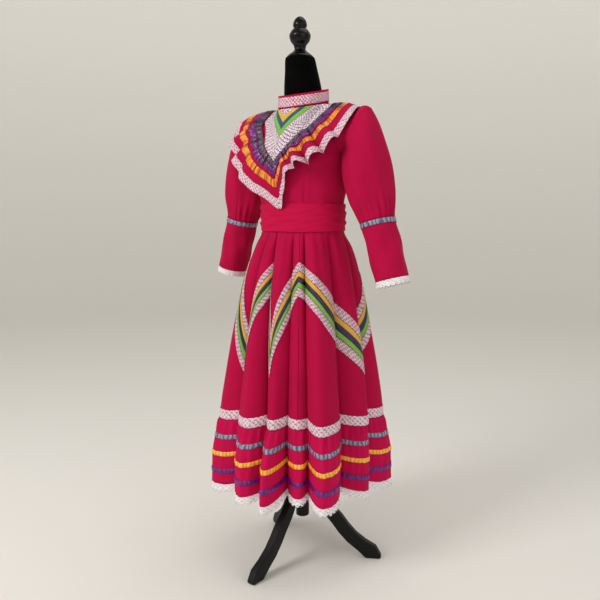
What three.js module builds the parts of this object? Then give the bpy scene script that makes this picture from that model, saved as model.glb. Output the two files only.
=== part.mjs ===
// A Jalisco folk dress on a limbless dress form with a three-legged stand.
// Units are millimetres, +Z is up, the dress faces -Y and the wearer's left is +X.
// The origin is on the floor, on the axis of the stand's post.
import * as THREE from 'three';

// ---- driving dimensions -------------------------------------------------
const CLOTH = 1.5; // wall of the cotton
const TRIM = 1.1; // wall of ribbons and lace
const SEAM_GAP = 0.3; // clearance between neighbouring pieces
const TRIM_LIFT = 0.6; // how far a trim lies off the cloth below it

const WAIST_Z = 1088; // waist seam, under the sash
const SEAM_Z = 467; // seam between skirt and flounce
const HEM_Z = 260; // lower edge of the flounce
const WAIST_A = 136; // half width of the waist
const WAIST_B = 106; // half depth of the waist
const CORNER = 0.22; // how far the two columns of a fold stand from its crest

// Folds of the skirt, clockwise from the wearer's right front, seen from below.
// top and hem: angle from the front in degrees; seam and edge: radius at the
// flounce seam and at the hem; gore: place along the six gores.
const FOLDS = [
  { top: -38, hem: -43, seam: 262, edge: 288, gore: -0.95 },
  { top: -24, hem: -29, seam: 205, edge: 208, gore: -0.5 },
  { top: -16, hem: -10, seam: 228, edge: 250, gore: -0.14 },
  { top: -7, hem: 3, seam: 168, edge: 170, gore: 0.0 },
  { top: 8, hem: 13, seam: 205, edge: 262, gore: 0.66 },
  { top: 26, hem: 23, seam: 152, edge: 152, gore: 0.9 },
  { top: 36, hem: 36, seam: 186, edge: 205, gore: 1.0 },
  { top: 42, hem: 45, seam: 168, edge: 168, gore: 1.03 },
  { top: 52, hem: 54, seam: 242, edge: 256, gore: 1.09 },
  { top: 74, hem: 80, seam: 165, edge: 157, gore: 1.28 },
  { top: 96, hem: 98, seam: 228, edge: 233, gore: 1.47 },
  { top: 105, hem: 111, seam: 188, edge: 190, gore: 1.62 },
  { top: 118, hem: 131, seam: 256, edge: 286, gore: 1.86 },
  { top: 132, hem: 144, seam: 200, edge: 192, gore: 2.0 },
  { top: 146, hem: 156, seam: 235, edge: 258, gore: 2.2 },
  { top: 162, hem: 169, seam: 178, edge: 175, gore: 2.4 },
  { top: 178, hem: 182, seam: 238, edge: 262, gore: 2.62 },
  { top: 194, hem: 196, seam: 190, edge: 184, gore: 2.82 },
  { top: 208, hem: 209, seam: 225, edge: 250, gore: 3.02 },
  { top: 222, hem: 222, seam: 170, edge: 166, gore: 3.22 },
  { top: 236, hem: 235, seam: 250, edge: 278, gore: 3.42 },
  { top: 250, hem: 249, seam: 195, edge: 190, gore: 3.62 },
  { top: 264, hem: 262, seam: 232, edge: 252, gore: 3.82 },
  { top: 278, hem: 276, seam: 172, edge: 162, gore: 4.05 },
  { top: 292, hem: 289, seam: 250, edge: 276, gore: 4.4 },
  { top: 307, hem: 303, seam: 196, edge: 198, gore: 4.72 },
];
const GORES = 6;

// How far the skirt has spread from the waist to the seam, by height.
const SPREAD = [
  { z: 1088, share: 0 },
  { z: 1048, share: 0.008 },
  { z: 1000, share: 0.19 },
  { z: 944, share: 0.34 },
  { z: 888, share: 0.46 },
  { z: 832, share: 0.555 },
  { z: 718, share: 0.72 },
  { z: 603, share: 0.865 },
  { z: 505, share: 0.975 },
  { z: 467, share: 1 },
];

// The chevron band: one peak at each gore seam.
const CHEVRON = { peakZ: 962, drop: 207, peakHeight: 100, valleyHeight: 138, easeTo: 0.4 };
const CHEVRON_STRIPS = [
  { name: 'chevron_lace_upper', from: 0, to: 0.265, colour: 0xe2c8d4 },
  { name: 'chevron_ribbon_yellow', from: 0.265, to: 0.42, colour: 0xf5b93c },
  { name: 'chevron_ribbon_navy', from: 0.42, to: 0.58, colour: 0x282d5f },
  { name: 'chevron_ribbon_green', from: 0.58, to: 0.735, colour: 0x78c846 },
  { name: 'chevron_lace_lower', from: 0.735, to: 1, colour: 0xe2c8d4 },
];
const SEAM_LACE_HEIGHT = 30;

// Rows of the flounce: share of its height, how far it has spread to the hem,
// and how far its gathers stand out.
const FLOUNCE_ROWS = [
  { drop: 0, spread: 0, pucker: 1.5 },
  { drop: 0.1, spread: 0.2, pucker: 3 },
  { drop: 0.21, spread: 0.4, pucker: 0 },
  { drop: 0.56, spread: 0.91, pucker: 0 },
  { drop: 1, spread: 1, pucker: 0 },
];
const FLOUNCE_RIBBONS = [
  { name: 'flounce_ribbon_greyblue', z: 412, colour: 0x6e8296 },
  { name: 'flounce_ribbon_yellow', z: 358, colour: 0xffc83c },
  { name: 'flounce_ribbon_purple', z: 302, colour: 0x781e96 },
];
const FLOUNCE_RIBBON_HEIGHT = 14;
const HEM_LACE_HEIGHT = 25;

// Levels of the torso up to the underarm: height, half width, depth to the
// front and to the back.
const TORSO = [
  { z: 1272, side: 1262, a: 168, front: 122, back: 114 },
  { z: 1245, side: 1240, a: 163, front: 126, back: 112 },
  { z: 1180, side: 1180, a: 150, front: 120, back: 104 },
  { z: 1130, side: 1130, a: 138, front: 109, back: 102 },
  { z: 1088.4, side: 1088.4, a: 136, front: 106, back: 106 },
];
const NECK = { a: 76, b: 74, y: 4, front: 1405, back: 1437, share: 0.42 };
const SHOULDER = { x: 200, y: 4, z: 1393, part: 1.3 }; // part: half the gap of the seam
const SIDE_PART = 0.9; // half the gap of the side seams
const SHOULDER_STEPS = 4; // rows from the underarm to the shoulder
const BODICE_STEPS = 6; // columns from the middle to the side

// Yoke trims on the bodice, from the neck outwards: height of the tip at the
// front, and where the strip ends along the neckline and shoulder.
const YOKE = [
  { name: 'yoke_lace_centre', tip: 1384, end: 0.1, rows: 1, colour: 0xe2c8d4 },
  { name: 'yoke_ribbon_yellow', tip: 1362, end: 0.15, rows: 1, colour: 0xf0c850 },
  { name: 'yoke_ribbon_blue', tip: 1342, end: 0.21, rows: 1, colour: 0x14587a },
  { name: 'yoke_ribbon_green', tip: 1320, end: 0.3, rows: 1, colour: 0x78c846 },
  { name: 'yoke_lace_wide', tip: 1250, end: 0.64, rows: 3, colour: 0xe2c8d4 },
];
const BACK_RISE = 30; // the same tips are higher on the back

// Bertha frill: for each station round the neck its inner edge (sewn to the
// yoke) and its outer edge. ruffle: how far its waves stand out there.
const BERTHA = [
  { ix: 0, iy: -131, iz: 1250, ox: 16, oy: -120, oz: 1114, ruffle: 0 },
  { ix: 12, iy: -132, iz: 1262, ox: 44, oy: -136, oz: 1178, ruffle: 3 },
  { ix: 30, iy: -129, iz: 1286, ox: 84, oy: -146, oz: 1232, ruffle: 13 },
  { ix: 55, iy: -113, iz: 1318, ox: 128, oy: -139, oz: 1240, ruffle: 16 },
  { ix: 80, iy: -90, iz: 1352, ox: 165, oy: -110, oz: 1272, ruffle: 15 },
  { ix: 102, iy: -56, iz: 1391, ox: 200, oy: -76, oz: 1325, ruffle: 10 },
  { ix: 115, iy: 4, iz: 1418, ox: 210, oy: 4, oz: 1403, ruffle: 4 },
  { ix: 102, iy: 66, iz: 1398, ox: 198, oy: 78, oz: 1340, ruffle: 8 },
  { ix: 66, iy: 104, iz: 1350, ox: 138, oy: 120, oz: 1265, ruffle: 9 },
  { ix: 30, iy: 122, iz: 1310, ox: 66, oy: 128, oz: 1215, ruffle: 6 },
  { ix: 0, iy: 127, iz: 1283, ox: 0, oy: 121, oz: 1172, ruffle: 0 },
  { ix: -30, iy: 122, iz: 1310, ox: -66, oy: 128, oz: 1215, ruffle: 6 },
  { ix: -66, iy: 104, iz: 1350, ox: -138, oy: 120, oz: 1265, ruffle: 9 },
  { ix: -102, iy: 66, iz: 1398, ox: -198, oy: 78, oz: 1340, ruffle: 8 },
  { ix: -115, iy: 4, iz: 1418, ox: -210, oy: 4, oz: 1403, ruffle: 4 },
  { ix: -128, iy: -56, iz: 1389, ox: -220, oy: -74, oz: 1340, ruffle: 6 },
  { ix: -98, iy: -90, iz: 1350, ox: -203, oy: -92, oz: 1280, ruffle: 8 },
  { ix: -68, iy: -113, iz: 1314, ox: -160, oy: -118, oz: 1222, ruffle: 4 },
  { ix: -36, iy: -129, iz: 1284, ox: -110, oy: -130, oz: 1178, ruffle: 2 },
  { ix: -12, iy: -132, iz: 1262, ox: -42, oy: -127, oz: 1145, ruffle: 0 },
];
const BERTHA_STRIPS = [
  { name: 'bertha_ribbon_grey', from: 0.02, to: 0.13, colour: 0x50606e },
  { name: 'bertha_ribbon_purple', from: 0.15, to: 0.31, colour: 0x6e1e82 },
  { name: 'bertha_ribbon_orange', from: 0.42, to: 0.56, colour: 0xff9628 },
];
const BERTHA_LACE_FROM = 0.78;

// Sleeve rings from the armhole down: centre, tilt of the ring in degrees,
// half sizes outward and forward, and how far the gathers stand out.
const PUFF = [
  { x: 212, y: 2, z: 1330, tilt: 66, out: 70, fore: 56, gather: 2.5 },
  { x: 223, y: 3, z: 1288, tilt: 36, out: 67, fore: 67, gather: 1.5 },
  { x: 232, y: 5, z: 1222, tilt: 18, out: 72, fore: 73, gather: 0 },
  { x: 247, y: 8, z: 1152, tilt: 14, out: 66, fore: 69, gather: 1.5 },
  { x: 262, y: 11, z: 1106, tilt: 15, out: 54, fore: 57, gather: 2.5 },
  { x: 268, y: 11, z: 1081, tilt: 15, out: 49, fore: 51, gather: 0 },
];
const LOWER = [
  { x: 268.1, y: 11, z: 1080.6, tilt: 15, out: 49, fore: 51 },
  { x: 293, y: 12, z: 1000, tilt: 15, out: 49, fore: 51 },
  { x: 319, y: 13, z: 917, tilt: 16, out: 47, fore: 50 },
];
const SLEEVE_COLUMNS = 20;
const SLEEVE_RIBBON = 13;
const CUFF_LACE = 20;

const COLLAR = { height: 37, lean: 1 };
const SASH = { top: 1129, bottom: 1047, clear: 6 };

// Dress form: levels of the part below the waist seam.
const FORM_LOW = [
  { z: 1040, a: 128, b: 101 },
  { z: 990, a: 129, b: 103 },
  { z: 935, a: 131, b: 106 },
  { z: 900, a: 126, b: 101 },
  { z: 884, a: 108, b: 84 },
];
const POST_RADIUS = 13;
const FOOT_REACH = 248;
const LEG_ANGLES = [2, 122, 242]; // degrees from the front

const MAGENTA = 0xbe1246;
const BLACK = 0x101012;
const WOOD = 0x0b0a0a;
const WHITE_LACE = 0xece4ea;

// ---- walls from grids of points ----------------------------------------
const group = new THREE.Group();

function addMesh(name, geometry, colour, roughness = 0.8) {
  const material = new THREE.MeshStandardMaterial({ color: colour, roughness, metalness: 0 });
  const mesh = new THREE.Mesh(geometry, material);
  mesh.name = name;
  group.add(mesh);
}

function geometryOf(points, faces) {
  const geometry = new THREE.BufferGeometry();
  const numbers = points.flatMap((p) => [p.x, p.y, p.z]);
  geometry.setAttribute('position', new THREE.Float32BufferAttribute(numbers, 3));
  geometry.setIndex(faces.flat());
  geometry.computeVertexNormals();
  return geometry;
}

// Steps out of each grid point: the mean normal, lengthened at sharp folds so
// that a wall keeps its thickness.
function stepsOut(grid, wraps) {
  const columns = grid[0].length;
  const sums = grid.map((row) => row.map(() => []));
  const lastColumn = wraps ? columns : columns - 1;
  for (let i = 0; i + 1 < grid.length; i += 1) {
    for (let j = 0; j < lastColumn; j += 1) {
      const k = (j + 1) % columns;
      const along = grid[i][k].clone().add(grid[i + 1][k]).sub(grid[i][j]).sub(grid[i + 1][j]);
      const down = grid[i + 1][j].clone().add(grid[i + 1][k]).sub(grid[i][j]).sub(grid[i][k]);
      const normal = down.cross(along).normalize();
      for (const [r, c] of [[i, j], [i, k], [i + 1, j], [i + 1, k]]) {
        sums[r][c].push(normal);
      }
    }
  }
  return sums.map((row) => row.map((normals) => {
    const mean = new THREE.Vector3();
    normals.forEach((n) => mean.add(n));
    mean.normalize();
    const sharp = normals.reduce((total, n) => total + n.dot(mean), 0) / normals.length;
    return mean.multiplyScalar(1 / Math.max(0.62, sharp));
  }));
}

// Faces of a grid, cut along the diagonal that lies further in.
function gridFaces(grid, steps, wraps, start, flip) {
  const columns = grid[0].length;
  const faces = [];
  const lastColumn = wraps ? columns : columns - 1;
  for (let i = 0; i + 1 < grid.length; i += 1) {
    for (let j = 0; j < lastColumn; j += 1) {
      const k = (j + 1) % columns;
      const a = i * columns + j;
      const b = (i + 1) * columns + j;
      const c = (i + 1) * columns + k;
      const d = i * columns + k;
      const bulge = grid[i][j].clone().add(grid[i + 1][k]).sub(grid[i + 1][j]).sub(grid[i][k]);
      const inward = bulge.dot(steps[i][j]) < 0;
      const pair = inward ? [[a, b, c], [a, c, d]] : [[a, b, d], [b, c, d]];
      for (const face of pair) {
        const moved = face.map((index) => index + start);
        faces.push(flip ? moved.reverse() : moved);
      }
    }
  }
  return faces;
}

// A closed wall between two grids of the same size.
function shell(outer, inner, steps, wraps) {
  const rows = outer.length;
  const columns = outer[0].length;
  const shift = rows * columns;
  const points = [...outer.flat(), ...inner.flat()];
  const faces = gridFaces(outer, steps, wraps, 0, false);
  faces.push(...gridFaces(outer, steps, wraps, shift, true));
  const rim = (a, b) => faces.push([a, b, b + shift], [a, b + shift, a + shift]);
  const lastColumn = wraps ? columns : columns - 1;
  for (let j = 0; j < lastColumn; j += 1) {
    const k = (j + 1) % columns;
    rim(j, k);
    rim((rows - 1) * columns + k, (rows - 1) * columns + j);
  }
  if (!wraps) {
    for (let i = 0; i + 1 < rows; i += 1) {
      rim((i + 1) * columns, i * columns);
      rim(i * columns + columns - 1, (i + 1) * columns + columns - 1);
    }
  }
  return geometryOf(points, faces);
}

// A panel is a grid of outer points with a wall behind it. Rows run from the
// top down and columns run from the wearer's right to the left across the front.
class Panel {
  constructor(grid, wraps) {
    this.grid = grid;
    this.wraps = wraps;
    this.steps = stepsOut(grid, wraps);
  }

  wall(thickness) {
    const inner = this.grid.map((row, i) => row.map((p, j) => (
      p.clone().addScaledVector(this.steps[i][j], -thickness))));
    return shell(this.grid, inner, this.steps, this.wraps);
  }

  // Points of one row position, which may lie between two rows, moved out.
  row(place, lift) {
    const i = Math.min(Math.floor(place), this.grid.length - 2);
    const t = place - i;
    return this.grid[i].map((p, j) => {
      const step = this.steps[i][j].clone().lerp(this.steps[i + 1][j], t);
      return p.clone().lerp(this.grid[i + 1][j], t).addScaledVector(step, lift);
    });
  }

  // A flat strip that lies on the panel between two row positions.
  strip(from, to, lift, thickness) {
    const places = [from];
    for (let i = Math.ceil(from + 1e-6); i < to - 1e-6; i += 1) {
      places.push(i);
    }
    places.push(to);
    const outer = places.map((place) => this.row(place, lift + thickness));
    const inner = places.map((place) => this.row(place, lift));
    return shell(outer, inner, stepsOut(outer, this.wraps), this.wraps);
  }
}

function mix(a, b, t) {
  return a + (b - a) * t;
}

function ellipseRadius(a, b, angle) {
  return 1 / Math.hypot(Math.sin(angle) / a, Math.cos(angle) / b);
}

function polar(radius, angle, z) {
  return new THREE.Vector3(radius * Math.sin(angle), -radius * Math.cos(angle), z);
}

// ---- skirt ---------------------------------------------------------------
const LOBE_POWER = 0.85; // below 1 the crests are broader and the hollows narrower

// Between a crest and a hollow the cloth rounds over the crest and drops into
// a narrow hollow.
function lobe(from, to, share) {
  const rise = from < to ? share : 1 - share;
  const round = Math.sin(rise * Math.PI * 0.5) ** LOBE_POWER;
  return mix(Math.min(from, to), Math.max(from, to), round);
}

// Each fold crest or hollow has two columns, one on each side of it.
function skirtColumns() {
  const columns = [];
  FOLDS.forEach((fold, index) => {
    for (const share of [CORNER, 1 - CORNER]) {
      const wrapsRound = index + 1 === FOLDS.length;
      const next = FOLDS[(index + 1) % FOLDS.length];
      const turn = wrapsRound ? 360 : 0;
      columns.push({
        top: THREE.MathUtils.degToRad(mix(fold.top, next.top + turn, share)),
        hem: THREE.MathUtils.degToRad(mix(fold.hem, next.hem + turn, share)),
        seam: lobe(fold.seam, next.seam, share),
        edge: lobe(fold.edge, next.edge, share),
        gore: mix(fold.gore, next.gore + (wrapsRound ? GORES : 0), share),
      });
    }
  });
  for (let half = -1; half < 2 * GORES - 1; half += 1) {
    const distance = (column) => Math.abs(column.gore - half / 2);
    const nearest = columns.reduce((best, c) => (distance(c) < distance(best) ? c : best));
    nearest.gore = half / 2;
  }
  return columns;
}
const COLUMNS = skirtColumns();

function spreadAt(z) {
  const below = SPREAD.findIndex((row) => row.z <= z);
  if (below <= 0) {
    return below === 0 ? SPREAD[0].share : 1;
  }
  const upper = SPREAD[below - 1];
  const lower = SPREAD[below];
  return mix(upper.share, lower.share, (upper.z - z) / (upper.z - lower.z));
}

// The hollows of the skirt hang a little higher than its crests.
function seamZ(column) {
  return SEAM_Z + 0.13 * Math.max(0, 240 - column.seam);
}

function hemZ(column) {
  return HEM_Z + 0.22 * Math.max(0, 250 - column.edge);
}

function skirtPoint(column, z) {
  const share = Math.min(1, (WAIST_Z - z) / (WAIST_Z - SEAM_Z));
  const angle = mix(column.top, column.hem, share);
  const waist = ellipseRadius(WAIST_A, WAIST_B, angle);
  return polar(mix(waist, column.seam, spreadAt(z)), angle, z);
}

function chevronZ(column) {
  const place = column.gore - Math.floor(column.gore);
  return CHEVRON.peakZ - CHEVRON.drop * Math.min(place, 1 - place) * 2;
}

// The band is taller on the slanting arms than at its peaks.
function chevronHeight(column) {
  const place = column.gore - Math.floor(column.gore);
  const share = Math.min(1, (Math.min(place, 1 - place) * 2) / CHEVRON.easeTo);
  return mix(CHEVRON.peakHeight, CHEVRON.valleyHeight, share * share * (3 - 2 * share));
}

// Heights of one column's rows, from the waist to the flounce seam.
function skirtHeights(column) {
  const top = chevronZ(column);
  const bottom = top - chevronHeight(column);
  const lace = seamZ(column) + SEAM_LACE_HEIGHT;
  return [
    WAIST_Z, SASH.bottom, mix(SASH.bottom, top, 0.5), top, bottom,
    mix(bottom, lace, 0.36), mix(bottom, lace, 0.7), lace, seamZ(column),
  ];
}
const CHEVRON_ROW = 3;
const LACE_ROW = 7;

const skirtGrid = skirtHeights(COLUMNS[0]).map((_, row) => (
  COLUMNS.map((column) => skirtPoint(column, skirtHeights(column)[row]))));
const skirt = new Panel(skirtGrid, true);

// One gore: the columns from one peak to the next, drawn in a little at its
// two seams so that neighbours stay apart.
function addGore(index) {
  const count = COLUMNS.length;
  const first = COLUMNS.findIndex((column) => column.gore === index);
  const last = COLUMNS.findIndex((column) => column.gore === (index + 1) % GORES);
  const picks = [];
  for (let j = first; j !== last; j = (j + 1) % count) {
    picks.push(j);
  }
  picks.push(last);
  const cut = (rows) => rows.map((row) => {
    const points = picks.map((j) => row[j].clone());
    const end = points.length - 1;
    const startShift = points[1].clone().sub(points[0]).setLength(SEAM_GAP);
    const endShift = points[end - 1].clone().sub(points[end]).setLength(SEAM_GAP);
    points[0].add(startShift);
    points[end].add(endShift);
    return points;
  });
  const inner = skirt.grid.map((row, i) => row.map((p, j) => (
    p.clone().addScaledVector(skirt.steps[i][j], -CLOTH))));
  const steps = skirt.steps.map((row) => picks.map((j) => row[j]));
  addMesh(`skirt_gore_${index + 1}`, shell(cut(skirt.grid), cut(inner), steps, false), MAGENTA);
}
for (let index = 0; index < GORES; index += 1) {
  addGore(index);
}

const STRIP_EDGE = 0.012; // share of the band left free at each edge of a strip
for (const strip of CHEVRON_STRIPS) {
  const from = CHEVRON_ROW + strip.from + STRIP_EDGE;
  const to = CHEVRON_ROW + strip.to - STRIP_EDGE;
  addMesh(strip.name, skirt.strip(from, to, TRIM_LIFT, TRIM), strip.colour, 0.5);
}
addMesh('flounce_seam_lace', skirt.strip(LACE_ROW, LACE_ROW + 1, TRIM_LIFT, TRIM), WHITE_LACE);

// The flounce has a second set of columns midway, which stand out in gathers
// near its seam.
function flouncePoint(column, row) {
  const top = seamZ(column) - SEAM_GAP;
  const z = mix(top, hemZ(column), row.drop);
  return polar(mix(column.seam, column.edge, row.spread), column.hem, z);
}

function withGathers(row, pucker) {
  const points = [];
  row.forEach((p, j) => {
    const next = row[(j + 1) % row.length];
    const middle = p.clone().lerp(next, 0.5);
    const out = new THREE.Vector3(next.y - p.y, p.x - next.x, 0).normalize();
    points.push(p, middle.addScaledVector(out, pucker));
  });
  return points;
}
const flounceRows = FLOUNCE_ROWS.map((row) => COLUMNS.map((column) => flouncePoint(column, row)));
const gatheredRows = flounceRows.map((row, i) => withGathers(row, FLOUNCE_ROWS[i].pucker));
addMesh('hem_flounce', new Panel(gatheredRows, true).wall(CLOTH), MAGENTA);

const flounce = new Panel(flounceRows, true);
function flouncePlace(z) {
  const drop = (SEAM_Z - z) / (SEAM_Z - HEM_Z);
  const next = FLOUNCE_ROWS.findIndex((row) => row.drop >= drop);
  const above = FLOUNCE_ROWS[next - 1].drop;
  return next - 1 + (drop - above) / (FLOUNCE_ROWS[next].drop - above);
}
for (const ribbon of FLOUNCE_RIBBONS) {
  const from = flouncePlace(ribbon.z + FLOUNCE_RIBBON_HEIGHT / 2);
  const to = flouncePlace(ribbon.z - FLOUNCE_RIBBON_HEIGHT / 2);
  addMesh(ribbon.name, flounce.strip(from, to, TRIM_LIFT, TRIM), ribbon.colour, 0.35);
}

const HEM_FLARE = 2;
const hemLaceRows = [SEAM_GAP, HEM_LACE_HEIGHT].map((fall, i) => COLUMNS.map((column) => (
  polar(column.edge + i * HEM_FLARE, column.hem, hemZ(column) - fall))));
addMesh('hem_lace', new Panel(hemLaceRows, true).wall(TRIM), WHITE_LACE);

// ---- bodice --------------------------------------------------------------
const QUARTER = Math.PI / 2;

// The neckline lies in a plane that slopes down to the front.
function neckZ(angle) {
  return mix(NECK.front, NECK.back, (1 - Math.cos(angle)) / 2);
}

// Top edge of a half bodice: the neckline, then the shoulder seam.
// place runs from 0 at the middle to 1 at the shoulder tip.
function topEdge(place, back) {
  if (place <= NECK.share) {
    const turn = (place / NECK.share) * QUARTER;
    const y = NECK.y + (back ? 1 : -1) * (NECK.b * Math.cos(turn) + SHOULDER.part);
    const z = neckZ(back ? Math.PI - turn : turn);
    return new THREE.Vector3(NECK.a * Math.sin(turn), y, z);
  }
  const along = (place - NECK.share) / (1 - NECK.share);
  const y = mix(NECK.y, SHOULDER.y, along) + (back ? SHOULDER.part : -SHOULDER.part);
  return new THREE.Vector3(mix(NECK.a, SHOULDER.x, along), y, mix(neckZ(QUARTER), SHOULDER.z, along));
}

function torsoLevel(level, turn, back) {
  const depth = back ? level.back : -level.front;
  const z = mix(level.z, level.side, Math.sin(turn) ** 2);
  return new THREE.Vector3(level.a * Math.sin(turn), depth * Math.cos(turn), z);
}

// A point of the upper body: rise 0 at the underarm, 1 at the neck and
// shoulder. carve turns the side in towards the armhole.
function upperPoint(place, rise, back, carve) {
  const turn = place * (QUARTER - carve * Math.sin(Math.PI * rise));
  const point = torsoLevel(TORSO[0], turn, back).lerp(topEdge(place, back), rise);
  const puff = Math.sin(Math.PI * rise) * Math.min(1, place * 1.4) * (1 - 0.5 * place);
  point.y += (back ? 16 : -14) * puff;
  point.z += 15 * puff;
  return point;
}
const ARMHOLE_FRONT = 0.72; // radians that the armhole cuts into the front
const ARMHOLE_BACK = 0.55;

// One side of the torso from the shoulder to the waist.
function torsoColumn(place, back, carve) {
  const column = [];
  for (let step = SHOULDER_STEPS; step > 0; step -= 1) {
    column.push(upperPoint(place, step / SHOULDER_STEPS, back, carve));
  }
  TORSO.forEach((level) => column.push(torsoLevel(level, place * QUARTER, back)));
  return column;
}

function gridOf(columns) {
  return columns[0].map((_, i) => columns.map((column) => column[i]));
}

function mirrored(point, sign) {
  return new THREE.Vector3(point.x * sign, point.y, point.z);
}

function bodiceGrid(back, carve, from, to) {
  const columns = [];
  for (let k = from; k <= to; k += 1) {
    const place = Math.abs(k) / BODICE_STEPS;
    const sign = Math.sign(k) * (back ? -1 : 1);
    columns.push(torsoColumn(place, back, carve).map((p) => mirrored(p, sign)));
  }
  return gridOf(columns);
}

function shiftColumn(grid, column, dx, dy) {
  grid.forEach((row) => {
    row[column].x += dx;
    row[column].y += dy;
  });
}
const frontGrid = bodiceGrid(false, ARMHOLE_FRONT, -BODICE_STEPS, BODICE_STEPS);
shiftColumn(frontGrid, 0, 0, -SIDE_PART);
shiftColumn(frontGrid, 2 * BODICE_STEPS, 0, -SIDE_PART);
const frontPanel = new Panel(frontGrid, false);
addMesh('bodice_front', frontPanel.wall(CLOTH), MAGENTA);

const backGrid = bodiceGrid(true, ARMHOLE_BACK, -BODICE_STEPS, BODICE_STEPS);
shiftColumn(backGrid, 0, 0, SIDE_PART);
shiftColumn(backGrid, 2 * BODICE_STEPS, 0, SIDE_PART);
const backPanel = new Panel(backGrid, false);
for (const [name, from, to, shift] of [
  ['bodice_back_left', 0, BODICE_STEPS, 2 * SEAM_GAP],
  ['bodice_back_right', BODICE_STEPS, 2 * BODICE_STEPS, -2 * SEAM_GAP],
]) {
  const half = backGrid.map((row) => row.slice(from, to + 1).map((p) => p.clone()));
  shiftColumn(half, shift > 0 ? BODICE_STEPS : 0, shift, 0);
  addMesh(name, new Panel(half, false).wall(CLOTH), MAGENTA);
}

// Collar: a standing band round the neckline, with lace over it.
const COLLAR_COLUMNS = 20;
function collarRow(height, grow) {
  const row = [];
  for (let j = 0; j < COLLAR_COLUMNS; j += 1) {
    const angle = (2 * Math.PI * j) / COLLAR_COLUMNS;
    const z = neckZ(angle) + height;
    const p = polar(1, angle, z);
    row.push(new THREE.Vector3(p.x * (NECK.a + grow), NECK.y + p.y * (NECK.b + grow), z));
  }
  return row;
}
const COLLAR_LIFT = 1;
const collar = new Panel([
  collarRow(COLLAR_LIFT + COLLAR.height, -COLLAR.lean), collarRow(COLLAR_LIFT, 0)], true);
addMesh('collar_band', collar.wall(CLOTH), MAGENTA);
addMesh('collar_lace', collar.strip(0.2, 0.95, TRIM_LIFT, TRIM), WHITE_LACE);

// Yoke trims: V-shaped strips between two edges on a panel.
function panelPoint(panel, across, place, lift) {
  const grid = panel.grid;
  const x = Math.min(Math.max((across + 1) * BODICE_STEPS, 0), 2 * BODICE_STEPS);
  const j = Math.min(Math.floor(x), 2 * BODICE_STEPS - 1);
  const i = Math.min(Math.floor(place), grid.length - 2);
  const pick = (rows) => rows[i][j].clone().lerp(rows[i][j + 1], x - j)
    .lerp(rows[i + 1][j].clone().lerp(rows[i + 1][j + 1], x - j), place - i);
  return pick(grid).addScaledVector(pick(panel.steps), lift);
}

function rowPlaceOf(panel, z) {
  const middle = panel.grid.map((row) => row[BODICE_STEPS].z);
  const next = middle.findIndex((height) => height <= z);
  return next - 1 + (middle[next - 1] - z) / (middle[next - 1] - middle[next]);
}

const YOKE_LIFT = 3.75;
const YOKE_PART = 0.006; // parts neighbouring strips at the neckline
const YOKE_STEPS = 5; // columns of each arm of a V
const YOKE_CLEAR = 0.13; // row share left free at the neckline
function yokeEdge(panel, entry, rise, inset) {
  const tip = rowPlaceOf(panel, entry.tip + rise) + inset;
  const places = [];
  for (let k = -YOKE_STEPS; k <= YOKE_STEPS; k += 1) {
    const share = Math.abs(k) / YOKE_STEPS;
    const across = Math.sign(k) * share * (entry.end + YOKE_PART * Math.sign(inset));
    places.push({ across, place: mix(tip, YOKE_CLEAR, share) });
  }
  return places;
}

function neckEdge(entry) {
  const places = [];
  for (let k = -YOKE_STEPS; k <= YOKE_STEPS; k += 1) {
    places.push({ across: (k / YOKE_STEPS) * (entry.end - 0.01), place: YOKE_CLEAR / 2 });
  }
  return places;
}

// Rows of points between two edges, moved out from the panel.
function yokeRows(panel, upper, lower, rows, lift) {
  const grid = [];
  for (let i = 0; i <= rows; i += 1) {
    grid.push(upper.map((start, j) => {
      const across = mix(start.across, lower[j].across, i / rows);
      return panelPoint(panel, across, mix(start.place, lower[j].place, i / rows), lift);
    }));
  }
  return grid;
}

const YOKE_INSET = 0.012; // share of a row left free beside each strip
for (const [side, panel, rise] of [['front', frontPanel, 0], ['back', backPanel, BACK_RISE]]) {
  YOKE.forEach((entry, index) => {
    const above = YOKE[index - 1];
    const upper = index === 0 ? neckEdge(entry) : yokeEdge(panel, above, rise, YOKE_INSET);
    const lower = yokeEdge(panel, entry, rise, -YOKE_INSET);
    const outer = yokeRows(panel, upper, lower, entry.rows, YOKE_LIFT + TRIM);
    const inner = yokeRows(panel, upper, lower, entry.rows, YOKE_LIFT);
    const geometry = shell(outer, inner, stepsOut(outer, false), false);
    addMesh(`${entry.name}_${side}`, geometry, entry.colour, 0.6);
  });
}

// ---- bertha frill -----------------------------------------------------------
const BERTHA_ROWS = [0, 0.34, 0.7, BERTHA_LACE_FROM];
function berthaGrid(shares) {
  const grid = shares.map(() => []);
  BERTHA.forEach((station, index) => {
    const next = BERTHA[(index + 1) % BERTHA.length];
    for (const half of [0, 0.5]) {
      const inner = new THREE.Vector3(
        mix(station.ix, next.ix, half), mix(station.iy, next.iy, half), mix(station.iz, next.iz, half));
      const outer = new THREE.Vector3(
        mix(station.ox, next.ox, half), mix(station.oy, next.oy, half), mix(station.oz, next.oz, half));
      const wave = mix(station.ruffle, next.ruffle, half) * (half === 0 ? -0.5 : 0.8);
      const away = new THREE.Vector3(outer.x * 0.4, outer.y, 60).normalize();
      shares.forEach((share, i) => {
        const drape = 6 * Math.sin(Math.PI * share);
        const p = inner.clone().lerp(outer, share);
        grid[i].push(p.addScaledVector(away, drape + wave * share));
      });
    }
  });
  return grid;
}
const bertha = new Panel(berthaGrid([...BERTHA_ROWS]), true);
addMesh('bertha_frill', bertha.wall(CLOTH), MAGENTA);
function berthaPlace(share) {
  const next = BERTHA_ROWS.findIndex((row) => row >= share);
  const above = BERTHA_ROWS[next - 1];
  return next - 1 + (share - above) / (BERTHA_ROWS[next] - above);
}
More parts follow.
